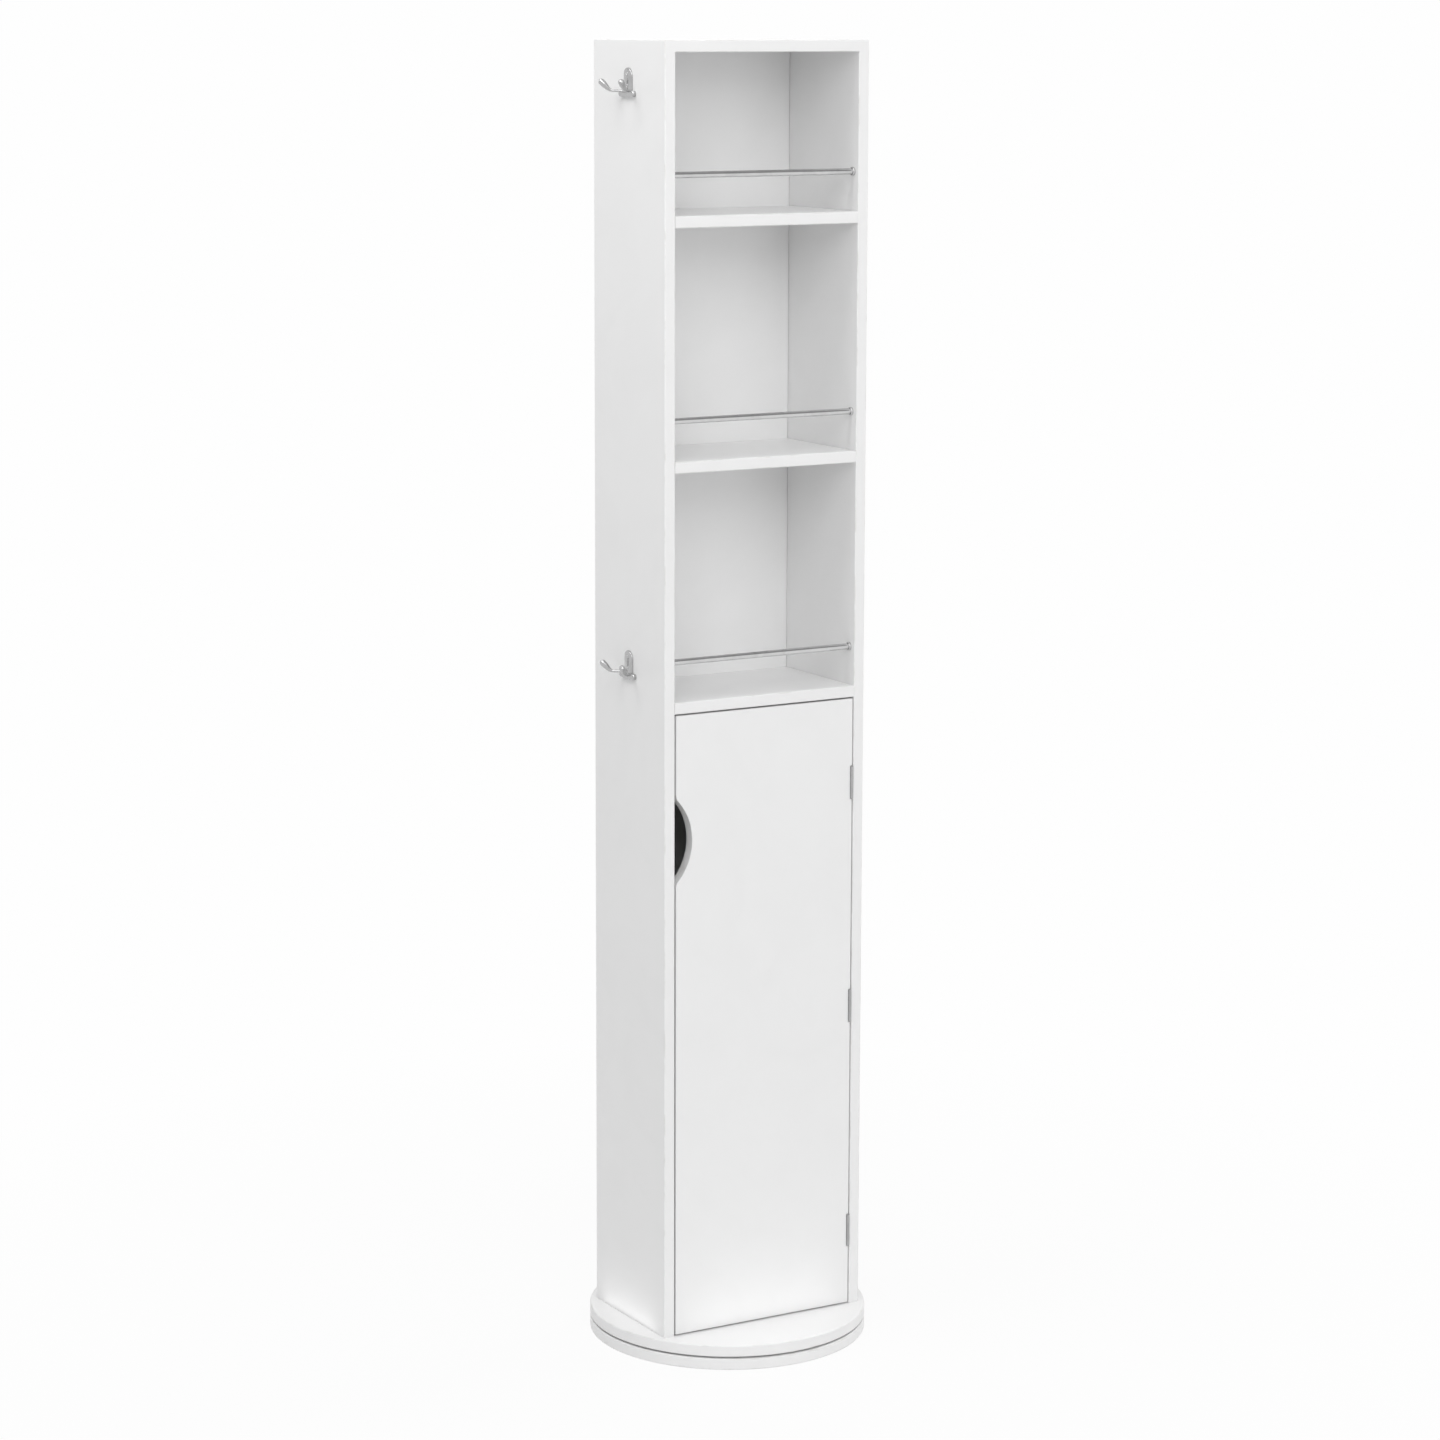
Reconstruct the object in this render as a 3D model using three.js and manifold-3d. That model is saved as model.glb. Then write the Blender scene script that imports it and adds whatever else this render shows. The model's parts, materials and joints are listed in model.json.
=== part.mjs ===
// A tall narrow revolving storage cabinet, in millimetres, +Z up.
// The origin is on the floor under the turning axis. The open front faces -Y.
//
// From the floor up: a fixed round foot disc, a ball race sunk into it, a turning disc,
// and on that an open-fronted column with three niches, each with a metal gallery rail,
// above a cupboard whose inset door hangs on three butt hinges. A mirror fills the back
// and double coat hooks sit on both sides.

import * as THREE from 'three';
import { mergeVertices } from 'three/addons/utils/BufferGeometryUtils.js';
import Module from 'manifold-3d';

const wasm = await Module();
wasm.setup();

// Overall sizes
const overall_height = 1690;
const disc_diameter = 365;
const disc_thickness = 15;
const disc_gap = 2.5;
const cabinet_width = 296;
const cabinet_depth = 184;

// Boards
const board = 15;
const back_board = 12;
const mirror_thickness = 4;
const edge_easing = 0.8;
const disc_easing = 1.5;
const joint_line = 0.1;

// Clearances and the one overrun that every cut uses
const running_clearance = 0.3;
const door_gap = 2;
const overrun = 1;

// Clear heights of the niches, from the top down
const top_niche_height = 200;
const middle_niche_height = 290;
const lower_niche_height = 290;

// Ball race between the two discs
const race_pitch_diameter = 280;
const race_ring_width = 8.25;
const race_ring_height = 8;
const race_ring_spacing = 3.5;
const race_groove_depth = 2.2;
const race_lift = 0.5;
const race_side_clearance = 0.5;
const ball_diameter = 5;
const ball_count = 14;
const cage_thickness = 1.6;
const cage_height = 3.4;

// Gallery rails and their end sockets
const rail_diameter = 8;
const rail_height_above_shelf = 50;
const rail_setback = 12;
const socket_diameter = 11;
const socket_length = 3;
const socket_floor = 1;
const socket_easing = 0.8;
const spigot_diameter = 5;
const spigot_length = 7;

// Adjustable cupboard shelves and their pins
const cupboard_shelf_count = 2;
const cupboard_shelf_behind_door = 7.9;
const cupboard_shelf_side_clearance = 0.7;
const pin_diameter = 5;
const pin_hole_depth = 9;
const pin_length_in_panel = 8;
const pin_collar_diameter = 8;
const pin_collar_length = 1.2;
const pin_stub_length = 8;
const pin_inset = 22;
const pin_row_pitch = 32;
const pin_rows_each_way = 1;

// Door and its finger cut-out
const cutout_chord = 110;
const cutout_depth = 23.4;
const cutout_below_door_top = 162;

// Butt hinges
const hinge_length = 42;
const bottom_hinge_above_door_foot = 99.2;
const top_hinge_below_door_top = 110.3;
const middle_hinge_above_halfway = 4;
const hinge_axis_beside_gap = 1.6;
const hinge_axis_before_front = 0.6;
const knuckle_diameter = 4.2;
const hinge_pin_diameter = 2;
const hinge_pin_head_diameter = 3.2;
const hinge_pin_head_thickness = 0.8;
const leaf_thickness = 0.8;
const leaf_width = 12;
const door_knuckle_length = 17;

// Magnetic catch
const catch_length = 40;
const catch_depth = 14;
const catch_height = 12;
const catch_from_opening_side = 24;
const catch_corner = 2.5;
const striker_length = 30;
const striker_height = 11;
const striker_thickness = 1.2;

// Double coat hooks
const upper_hook_below_top = 52.5;
const lower_hook_above_shelf = 37.5;
const hook_plate_width = 21;
const hook_plate_height = 36;
const hook_plate_thickness = 3;
const hook_plate_easing = 0.5;
const hook_foot_width = 38;
const hook_foot_height = 7.5;
const hook_foot_thickness = 5;
const hook_arm_below_centre = 10.5;
const hook_arm_spread = 24;
const hook_arm_run = 15.5;
const hook_arm_reach = 28.8;
const hook_arm_rise = 13.8;
const hook_arm_splay = THREE.MathUtils.degToRad(32);
const hook_arm_root_diameter = 3.4;
const hook_arm_tip_diameter = 8;
const hook_arm_swell_start_share = 0.4;
const hook_arm_swell_end_share = 0.82;

// Facet counts
const disc_sides = 72;
const race_sides = 40;
const rail_sides = 20;
const fitting_sides = 12;
const groove_sides = 12;
const hole_sides = 8;
const ball_sides = 8;
const ball_rings = 6;
const arm_sides = 8;
const arm_steps = 12;
const arc_segments = 20;
const corner_segments = 3;

// Levels and faces that several pieces share
const turning_disc_bottom = disc_thickness + disc_gap;
const cabinet_bottom = turning_disc_bottom + disc_thickness;
const half_width = cabinet_width / 2;
const half_depth = cabinet_depth / 2;
const front = -half_depth;
const inner_width = cabinet_width - 2 * board;
const inner_half_width = inner_width / 2;
const back_board_front = half_depth - mirror_thickness - back_board;
const top_underside = overall_height - board;
const shelf_tops = {
  shelf_upper: top_underside - top_niche_height,
  shelf_middle: top_underside - top_niche_height - board - middle_niche_height,
  shelf_lower: top_underside - top_niche_height - 2 * board - middle_niche_height - lower_niche_height,
};
const cupboard_top = shelf_tops.shelf_lower - board;
const door_bottom = cabinet_bottom + door_gap;
const door_top = cupboard_top - door_gap;
const door_half_width = inner_half_width - door_gap;
const door_back = front + board;
const race_middle = disc_thickness + disc_gap / 2;

// Materials, one for each finish

function finish(color, roughness, metalness) {
  return new THREE.MeshStandardMaterial({ color, roughness, metalness, flatShading: true });
}

const white_board = () => finish(0xf0f0ef, 0.42, 0);
const satin_nickel = () => finish(0xa9a8a4, 0.32, 1);
const polished_chrome = () => finish(0xd2d4d6, 0.15, 1);
const hinge_steel = () => finish(0x77787a, 0.35, 1);
const race_steel = () => finish(0x8b8d90, 0.3, 1);
const mirror_silver = () => finish(0xe6ecee, 0.03, 1);
const white_plastic = () => finish(0xe9e9e6, 0.5, 0);

// Solids: three.js geometry in, a manifold for joining and cutting, and geometry out again

function solidOf(geometry) {
  const bare = geometry.clone();
  bare.deleteAttribute('normal');
  bare.deleteAttribute('uv');
  const merged = mergeVertices(bare);
  return new wasm.Manifold(new wasm.Mesh({
    numProp: 3,
    vertProperties: merged.attributes.position.array,
    triVerts: new Uint32Array(merged.index.array),
  }));
}

function geometryOf(solid) {
  const mesh = solid.getMesh();
  const geometry = new THREE.BufferGeometry();
  geometry.setAttribute('position', new THREE.BufferAttribute(new Float32Array(mesh.vertProperties), 3));
  geometry.setIndex(new THREE.BufferAttribute(new Uint32Array(mesh.triVerts), 1));
  geometry.computeVertexNormals();
  return geometry;
}

function joined(geometries) {
  return geometryOf(geometries.map(solidOf).reduce((sum, next) => sum.add(next)));
}

function cut(geometry, tools) {
  return geometryOf(tools.map(solidOf).reduce((rest, tool) => rest.subtract(tool), solidOf(geometry)));
}

// Axis changes without rounding: an outline drawn in x and y is extruded along +Z, then laid down
const x_axis = new THREE.Vector3(1, 0, 0);
const y_axis = new THREE.Vector3(0, 1, 0);
const z_axis = new THREE.Vector3(0, 0, 1);
const run_along_x = new THREE.Matrix4().makeBasis(y_axis, z_axis, x_axis);
const run_along_minus_y = new THREE.Matrix4().makeBasis(x_axis, z_axis, y_axis.clone().negate());
const run_along_minus_x = new THREE.Matrix4()
  .makeBasis(y_axis.clone().negate(), z_axis, x_axis.clone().negate());

function at(geometry, x, y, z) {
  return geometry.translate(x, y, z);
}

function mesh(name, geometry, material, x = 0, y = 0, z = 0) {
  const piece = new THREE.Mesh(geometry, material);
  piece.name = name;
  piece.position.set(x, y, z);
  return piece;
}

// A rectangle centred on the origin, with its corners cut off by the easing
function easedRectangle(width, height, easing) {
  const w = width / 2;
  const h = height / 2;
  const outline = new THREE.Shape();
  outline.moveTo(-w + easing, -h);
  outline.lineTo(w - easing, -h);
  outline.lineTo(w, -h + easing);
  outline.lineTo(w, h - easing);
  outline.lineTo(w - easing, h);
  outline.lineTo(-w + easing, h);
  outline.lineTo(-w, h - easing);
  outline.lineTo(-w, -h + easing);
  outline.closePath();
  return outline;
}

// A rectangle centred on the origin, with round corners
function roundedRectangle(width, height, radius) {
  const w = width / 2;
  const h = height / 2;
  const quarter = Math.PI / 2;
  const outline = new THREE.Shape();
  outline.absarc(w - radius, h - radius, radius, 0, quarter);
  outline.absarc(-w + radius, h - radius, radius, quarter, 2 * quarter);
  outline.absarc(-w + radius, -h + radius, radius, 2 * quarter, 3 * quarter);
  outline.absarc(w - radius, -h + radius, radius, 3 * quarter, 4 * quarter);
  outline.closePath();
  return outline;
}

function extruded(outline, length, curveSegments = corner_segments) {
  return new THREE.ExtrudeGeometry(outline, { depth: length, bevelEnabled: false, curveSegments });
}

// An outline extruded so that its total thickness, both eased faces included, is the one asked for
function easedPlate(outline, thickness, easing, curveSegments) {
  const plate = new THREE.ExtrudeGeometry(outline, {
    depth: thickness - 2 * easing,
    bevelEnabled: true,
    bevelSize: easing,
    bevelThickness: easing,
    bevelOffset: -easing,
    bevelSegments: 1,
    curveSegments,
  });
  return plate.translate(0, 0, easing);
}

// A board that runs from side to side: its section lies in the YZ plane
function crossBoard(length, depth, thickness) {
  const section = easedRectangle(depth, thickness, edge_easing);
  const geometry = extruded(section, length);
  geometry.applyMatrix4(run_along_x);
  return at(geometry, -length / 2, 0, 0);
}

// A cylinder along +X that starts at the origin
function rodAlongX(radius, length, sides) {
  const rod = new THREE.CylinderGeometry(radius, radius, length, sides);
  rod.rotateZ(-Math.PI / 2);
  return at(rod, length / 2, 0, 0);
}

// A profile of [radius, height] pairs turned about the Z axis
function turned(profile, sides) {
  const points = profile.map(([radius, height]) => new THREE.Vector2(radius, height));
  const geometry = new THREE.LatheGeometry(points, sides);
  return geometry.rotateX(Math.PI / 2);
}

// The same, about the X axis, with heights running along +X
function turnedAlongX(profile, sides) {
  const points = profile.map(([radius, height]) => new THREE.Vector2(radius, height));
  const geometry = new THREE.LatheGeometry(points, sides);
  return geometry.rotateZ(-Math.PI / 2);
}

// Discs and ball race

const race_pitch_radius = race_pitch_diameter / 2;
const race_inner_face = race_pitch_radius - race_ring_spacing / 2;
const race_outer_face = race_pitch_radius + race_ring_spacing / 2;
const pocket_inner_radius = race_inner_face - race_ring_width - race_side_clearance;
const pocket_outer_radius = race_outer_face + race_ring_width + race_side_clearance;
const pocket_depth = (race_ring_height + race_lift - disc_gap) / 2;

// A round disc with eased rims and a ring-shaped pocket sunk into its upper face
function pocketedDisc() {
  const radius = disc_diameter / 2;
  return turned([
    [0, 0],
    [radius - disc_easing, 0],
    [radius, disc_easing],
    [radius, disc_thickness - disc_easing],
    [radius - disc_easing, disc_thickness],
    [pocket_outer_radius, disc_thickness],
    [pocket_outer_radius, disc_thickness - pocket_depth],
    [pocket_inner_radius, disc_thickness - pocket_depth],
    [pocket_inner_radius, disc_thickness],
    [0, disc_thickness],
  ], disc_sides);
}

function baseDisc() {
  return mesh('base_disc', pocketedDisc(), white_board());
}

// The turning disc is the same disc upside down, so that the two pockets face each other
function turningDisc() {
  const geometry = pocketedDisc().rotateX(Math.PI);
  return mesh('turning_disc', geometry, white_board(), 0, 0, turning_disc_bottom + disc_thickness);
}

// A race ring whose V groove, in its face at face_radius, is level with the balls. The steel lies
// outside that face where away is 1 and inside it where away is -1. shift lifts the ring's middle
// above the balls
function raceRing(face_radius, away, shift) {
  const back_radius = face_radius + away * race_ring_width;
  const bottom = shift - race_ring_height / 2;
  const top = shift + race_ring_height / 2;
  const profile = [
    [face_radius, bottom],
    [back_radius, bottom],
    [back_radius, top],
    [face_radius, top],
    [face_radius, race_groove_depth],
    [face_radius + away * race_groove_depth, 0],
    [face_radius, -race_groove_depth],
    [face_radius, bottom],
  ];
  return turned(away > 0 ? profile : profile.reverse(), race_sides);
}

// The outer ring rests in the base's pocket and the inner one hangs from the turning disc
function raceRings() {
  const shift = race_lift / 2 - joint_line;
  return {
    outer: mesh('race_outer_ring', raceRing(race_outer_face, 1, -shift), race_steel(), 0, 0, race_middle),
    inner: mesh('race_inner_ring', raceRing(race_inner_face, -1, shift), race_steel(), 0, 0, race_middle),
  };
}

// The cage is a thin band, and each ball sits in it half inside and half outside
function ballRing() {
  const inner = race_pitch_radius - cage_thickness / 2;
  const outer = race_pitch_radius + cage_thickness / 2;
  const half = cage_height / 2;
  const section = [[inner, -half], [outer, -half], [outer, half], [inner, half], [inner, -half]];
  const band = turned(section, race_sides);
  const balls = [];
  for (let i = 0; i < ball_count; i += 1) {
    const angle = (2 * Math.PI * i) / ball_count;
    const ball = new THREE.SphereGeometry(ball_diameter / 2, ball_sides, ball_rings);
    balls.push(at(ball, race_pitch_radius * Math.cos(angle), race_pitch_radius * Math.sin(angle), 0));
  }
  return mesh('ball_ring', joined([band, ...balls]), race_steel(), 0, 0, race_middle);
}

// Carcass

function shelfPinLevels() {
  const clear = cupboard_top - cabinet_bottom;
  const spacing = clear / (cupboard_shelf_count + 1);
  const levels = [];
  for (let i = 1; i <= cupboard_shelf_count; i += 1) {
    levels.push(cabinet_bottom + i * spacing);
  }
  return levels;
}

const cupboard_shelf_back = back_board_front - joint_line;
const cupboard_shelf_front = door_back + cupboard_shelf_behind_door;
const cupboard_shelf_depth = cupboard_shelf_back - cupboard_shelf_front;
const pin_places = [cupboard_shelf_front + pin_inset, cupboard_shelf_back - pin_inset];
const rail_line = front + rail_setback;

// Blind holes of a side panel, as rods that run along +X from the panel's inner face. The left
// panel is turned round afterwards, so its holes are first drawn back to front
function panelHoles(side) {
  const holes = [];
  for (const level of shelfPinLevels()) {
    for (let row = -pin_rows_each_way; row <= pin_rows_each_way; row += 1) {
      for (const y of pin_places) {
        const hole = rodAlongX(pin_diameter / 2 + running_clearance, pin_hole_depth + overrun, hole_sides);
        holes.push(at(hole, -overrun, side * y, level + row * pin_row_pitch - cabinet_bottom));
      }
    }
  }
  for (const top of Object.values(shelf_tops)) {
    const hole = rodAlongX(spigot_diameter / 2 + running_clearance, pin_hole_depth + overrun, hole_sides);
    holes.push(at(hole, -overrun, side * rail_line, top + rail_height_above_shelf - cabinet_bottom));
  }
  return holes;
}

// A side panel whose inner face lies at local x = 0 and whose board fills +X
function sidePanel(name, side) {
  const section = easedRectangle(board, cabinet_depth, edge_easing);
  const height = overall_height - cabinet_bottom - joint_line;
  const plank = at(extruded(section, height), board / 2, 0, 0);
  const geometry = cut(plank, panelHoles(side));
  if (side < 0) {
    geometry.rotateZ(Math.PI);
  }
  return mesh(name, geometry, white_board(), side * inner_half_width, 0, cabinet_bottom + joint_line);
}

function topPanel() {
  const length = inner_width - 2 * joint_line;
  return mesh('top_panel', crossBoard(length, cabinet_depth, board), white_board(),
    0, 0, overall_height - board / 2);
}

function fixedShelf(name) {
  const depth = back_board_front - joint_line - front;
  const length = inner_width - 2 * joint_line;
  return mesh(name, crossBoard(length, depth, board), white_board(),
    0, front + depth / 2, shelf_tops[name] - board / 2);
}

function backPanel() {
  const height = top_underside - cabinet_bottom - 2 * joint_line;
  const geometry = extruded(easedRectangle(inner_width - 2 * joint_line, back_board, edge_easing), height);
  return mesh('back_panel', geometry, white_board(),
    0, back_board_front + back_board / 2, cabinet_bottom + joint_line);
}

// The mirror is glued to the back board and lies flush with the edges of the side panels
function mirrorGlass() {
  const height = top_underside - cabinet_bottom - 2 * running_clearance;
  const outline = easedRectangle(inner_width - 2 * running_clearance, height, edge_easing);
  const geometry = easedPlate(outline, mirror_thickness - joint_line, edge_easing, corner_segments);
  geometry.applyMatrix4(run_along_minus_y);
  const middle = (top_underside + cabinet_bottom) / 2;
  return mesh('mirror_glass', geometry, mirror_silver(), 0, half_depth, middle);
}

// Gallery rails

function railSocket(name, side, level) {
  const spigot = spigot_diameter / 2;
  const flange = socket_diameter / 2;
  const mouth = rail_diameter / 2 + running_clearance;
  const profile = [
    [0, -spigot_length],
    [spigot, -spigot_length],
    [spigot, 0],
    [flange, 0],
    [flange, socket_length - socket_easing],
    [flange - socket_easing, socket_length],
    [mouth, socket_length],
    [mouth, socket_floor],
    [0, socket_floor],
  ];
  const geometry = turnedAlongX(profile, fitting_sides);
  if (side > 0) {
    geometry.rotateZ(Math.PI);
  }
  return mesh(name, geometry, polished_chrome(),
    side * (inner_half_width - joint_line), rail_line, level);
}

function galleryRail(name, level) {
  const length = inner_width - 2 * (joint_line + socket_floor + running_clearance);
  return mesh(name, rodAlongX(rail_diameter / 2, length, rail_sides), polished_chrome(),
    -length / 2, rail_line, level);
}

function galleries() {
  const pieces = [];
  for (const [shelf, top] of Object.entries(shelf_tops)) {
    const place = shelf.replace('shelf_', '');
    const level = top + rail_height_above_shelf;
    pieces.push(galleryRail(`rail_${place}`, level));
    pieces.push(railSocket(`rail_socket_${place}_left`, -1, level));
    pieces.push(railSocket(`rail_socket_${place}_right`, 1, level));
  }
  return pieces;
}

// Cupboard shelves on pins

function shelfPin(name, side, y, level) {
  const pin = pin_diameter / 2;
  const collar = pin_collar_diameter / 2;
  const profile = [
    [0, -pin_length_in_panel],
    [pin, -pin_length_in_panel],
    [pin, 0],
    [collar, 0],
    [collar, pin_collar_length],
    [pin, pin_collar_length],
    [pin, pin_stub_length],
    [0, pin_stub_length],
  ];
  const geometry = turnedAlongX(profile, hole_sides);
  if (side > 0) {
    geometry.rotateZ(Math.PI);
  }
  return mesh(name, geometry, race_steel(), side * (inner_half_width - joint_line), y, level);
}

function cupboardShelves() {
  const pieces = [];
  const names = ['lower', 'upper'];
  const side_room = 2 * (pin_collar_length + cupboard_shelf_side_clearance);
  const width = inner_width - side_room;
  const middle = (cupboard_shelf_front + cupboard_shelf_back) / 2;
  shelfPinLevels().forEach((level, i) => {
    const bottom = level + pin_diameter / 2 + joint_line;
    const name = `cupboard_shelf_${names[i] ?? i}`;
    pieces.push(mesh(name, crossBoard(width, cupboard_shelf_depth, board), white_board(),
      0, middle, bottom + board / 2));
    pin_places.forEach((y, place) => {
      const where = place === 0 ? 'front' : 'back';
      pieces.push(shelfPin(`shelf_pin_${names[i] ?? i}_left_${where}`, -1, y, level));
      pieces.push(shelfPin(`shelf_pin_${names[i] ?? i}_right_${where}`, 1, y, level));
    });
  });
  return pieces;
}

// Door, with a segment of a circle cut out of its free edge for the fingers

function doorOutline() {
  const radius = ((cutout_chord / 2) ** 2 + cutout_depth ** 2) / (2 * cutout_depth);
  const centre_x = -door_half_width + cutout_depth - radius;
  const centre_z = door_top - cutout_below_door_top;
  const half_angle = Math.asin(cutout_chord / 2 / radius);
  const outline = new THREE.Shape();
  outline.moveTo(-door_half_width, door_bottom);
  outline.lineTo(door_half_width, door_bottom);
  outline.lineTo(door_half_width, door_top);
  outline.lineTo(-door_half_width, door_top);
  outline.lineTo(-door_half_width, centre_z + cutout_chord / 2);
  outline.absarc(centre_x, centre_z, radius, half_angle, -half_angle, true);
  outline.closePath();
  return outline;
}

// The knuckles lie beside the gap, half sunk into grooves in the door's front corner
const gap_middle = inner_half_width - door_gap / 2;
const hinge_axis_x = gap_middle - hinge_axis_beside_gap;
const hinge_axis_y = front - hinge_axis_before_front;

function hingeLevels() {
  const lowest = door_bottom + bottom_hinge_above_door_foot;
  const highest = door_top - top_hinge_below_door_top;
  const middle = (lowest + highest) / 2 + middle_hinge_above_halfway;
  return { bottom: lowest, middle, top: highest };
}

function knuckleGroove(level) {
  const radius = knuckle_diameter / 2 + running_clearance;
  const half = hinge_length / 2 + hinge_pin_head_thickness + 2 * running_clearance;
  const profile = [
    [0, -half],
    [radius, -half],
    [radius, half],
    [0, half],
  ];
  return at(turned(profile, groove_sides), hinge_axis_x, hinge_axis_y - door_back, level);
}

function door() {
  const plate = easedPlate(doorOutline(), board, edge_easing, arc_segments);
  plate.applyMatrix4(run_along_minus_y);
  const grooves = Object.values(hingeLevels()).map(knuckleGroove);
  return mesh('door', cut(plate, grooves), white_board(), 0, door_back, 0);
}

// Butt hinges

const frame_knuckle_length = (hinge_length - door_knuckle_length) / 2 - running_clearance;

function knuckle(start, length) {
  const bore = hinge_pin_diameter / 2 + running_clearance;
  const ring = [
    [bore, start],
    [knuckle_diameter / 2, start],
    [knuckle_diameter / 2, start + length],
    [bore, start + length],
    [bore, start],
  ];
  return turned(ring, fitting_sides);
}

// A strip of leaf, in the hinge's own frame, from one y to another; side is +1 for the frame's leaf
function leafStrip(side, y_start, y_end, start, length) {
  const strip = new THREE.BoxGeometry(leaf_thickness, y_end - y_start, length);
  const x = gap_middle - hinge_axis_x + side * (door_gap / 2 - joint_line - leaf_thickness / 2);
  return at(strip, x, (y_start + y_end) / 2, start + length / 2);
}

function hingeLeaf(name, side, knuckles, level) {
  const clear_of_knuckle = knuckle_diameter / 2 + 2 * running_clearance;
  const wall_middle = (knuckle_diameter / 2 + hinge_pin_diameter / 2 + running_clearance) / 2;
  const into_knuckle = side > 0 ? 0 : wall_middle;
  const leaf_end = front - hinge_axis_y + leaf_width;
  const solids = [leafStrip(side, clear_of_knuckle, leaf_end, -hinge_length / 2, hinge_length)];
  for (const [start, length] of knuckles) {
    solids.push(knuckle(start, length));
    solids.push(leafStrip(side, into_knuckle, clear_of_knuckle + overrun, start, length));
  }
  return mesh(name, joined(solids), hinge_steel(), hinge_axis_x, hinge_axis_y, level);
}

function hingePin(name, level) {
  const pin = hinge_pin_diameter / 2;
  const head = hinge_pin_head_diameter / 2;
  const half = hinge_length / 2 + joint_line;
  const end = half + hinge_pin_head_thickness;
  const profile = [
    [0, -end],
    [head, -end],
    [head, -half],
    [pin, -half],
    [pin, half],
    [head, half],
    [head, end],
    [0, end],
  ];
  return mesh(name, turned(profile, fitting_sides), hinge_steel(), hinge_axis_x, hinge_axis_y, level);
}

function hinges() {
  const frame_side = [];
  const door_side = [];
  const half = hinge_length / 2;
  const frame_knuckles = [
    [-half, frame_knuckle_length],
    [half - frame_knuckle_length, frame_knuckle_length],
  ];
  const door_knuckles = [[-door_knuckle_length / 2, door_knuckle_length]];
  for (const [place, level] of Object.entries(hingeLevels())) {
    frame_side.push(hingeLeaf(`hinge_${place}_frame_leaf`, 1, frame_knuckles, level));
    frame_side.push(hingePin(`hinge_${place}_pin`, level));
    door_side.push(hingeLeaf(`hinge_${place}_door_leaf`, -1, door_knuckles, level));
  }
  return { frame_side, door_side };
}

// Magnetic catch under the lowest fixed shelf, and its striker on the door's back

const striker_back = door_back + joint_line + striker_thickness;
const catch_middle_x = -inner_half_width + catch_from_opening_side + catch_length / 2;
const catch_middle_z = cupboard_top - joint_line - catch_height / 2;

function catchBody() {
  const outline = roundedRectangle(catch_length, catch_depth, catch_corner);
  const geometry = extruded(outline, catch_height);
  return mesh('catch_body', geometry, white_plastic(),
    catch_middle_x, striker_back + running_clearance + catch_depth / 2, catch_middle_z - catch_height / 2);
}

function catchStriker() {
  const outline = roundedRectangle(striker_length, striker_height, catch_corner);
  const geometry = extruded(outline, striker_thickness);
  geometry.applyMatrix4(run_along_minus_y);
  const level = Math.min(catch_middle_z, door_top - striker_height / 2 - door_gap);
  return mesh('catch_striker', geometry, hinge_steel(), catch_middle_x, striker_back, level);
}

// Double coat hooks. Drawn with the wall plane at local x = 0 and the arms reaching out to -X

// Round-topped plate outline, in depth and height, centred on the plate
function hookPlateOutline() {
  const radius = hook_plate_width / 2;
  const outline = new THREE.Shape();
  outline.moveTo(-radius, -hook_plate_height / 2);
  outline.lineTo(radius, -hook_plate_height / 2);
  outline.absarc(0, hook_plate_height / 2 - radius, radius, 0, Math.PI);
  outline.closePath();
  return outline;
}

// Centreline of one arm, as points in reach and height: a level run, a bend and a rising end
function armCentreline() {
  const rise_slope = hook_arm_rise / (hook_arm_reach - hook_arm_run);
  const bend = hook_arm_tip_diameter;
  const run_end = new THREE.Vector2(hook_arm_run - bend / 2, 0);
  const corner = new THREE.Vector2(hook_arm_run, 0);
  const rise_start = new THREE.Vector2(hook_arm_run + bend / 2, (bend / 2) * rise_slope);
  const tip = new THREE.Vector2(hook_arm_reach, hook_arm_rise);
  const path = new THREE.CurvePath();
  path.add(new THREE.LineCurve(new THREE.Vector2(0, 0), run_end));
  path.add(new THREE.QuadraticBezierCurve(run_end, corner, rise_start));
  path.add(new THREE.LineCurve(rise_start, tip));
  return path;
}

// The arm's radius: slim at the root, swelling along the way, closing in a round end
function armRadius(share, round_end_share) {
  const swell = THREE.MathUtils.smoothstep(share, hook_arm_swell_start_share, hook_arm_swell_end_share);
  const root = hook_arm_root_diameter / 2;
  const full = root + swell * (hook_arm_tip_diameter / 2 - root);
  const into_end = Math.max(0, (share - (1 - round_end_share)) / round_end_share);
  return full * Math.sqrt(Math.max(0, 1 - into_end * into_end));
}

// Shares of the arm's length at which it has a ring of points, closer together in the round end
function armShares(round_end_share) {
  const shares = [];
  const end_rings = arm_sides / 2;
  const body_rings = arm_steps - end_rings;
  for (let i = 0; i < body_rings; i += 1) {
    shares.push((i / body_rings) * (1 - round_end_share));
  }
  for (let i = 0; i < end_rings; i += 1) {
    shares.push(1 - round_end_share + round_end_share * Math.sin((i / end_rings) * (Math.PI / 2)));
  }
  return shares;
}

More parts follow.
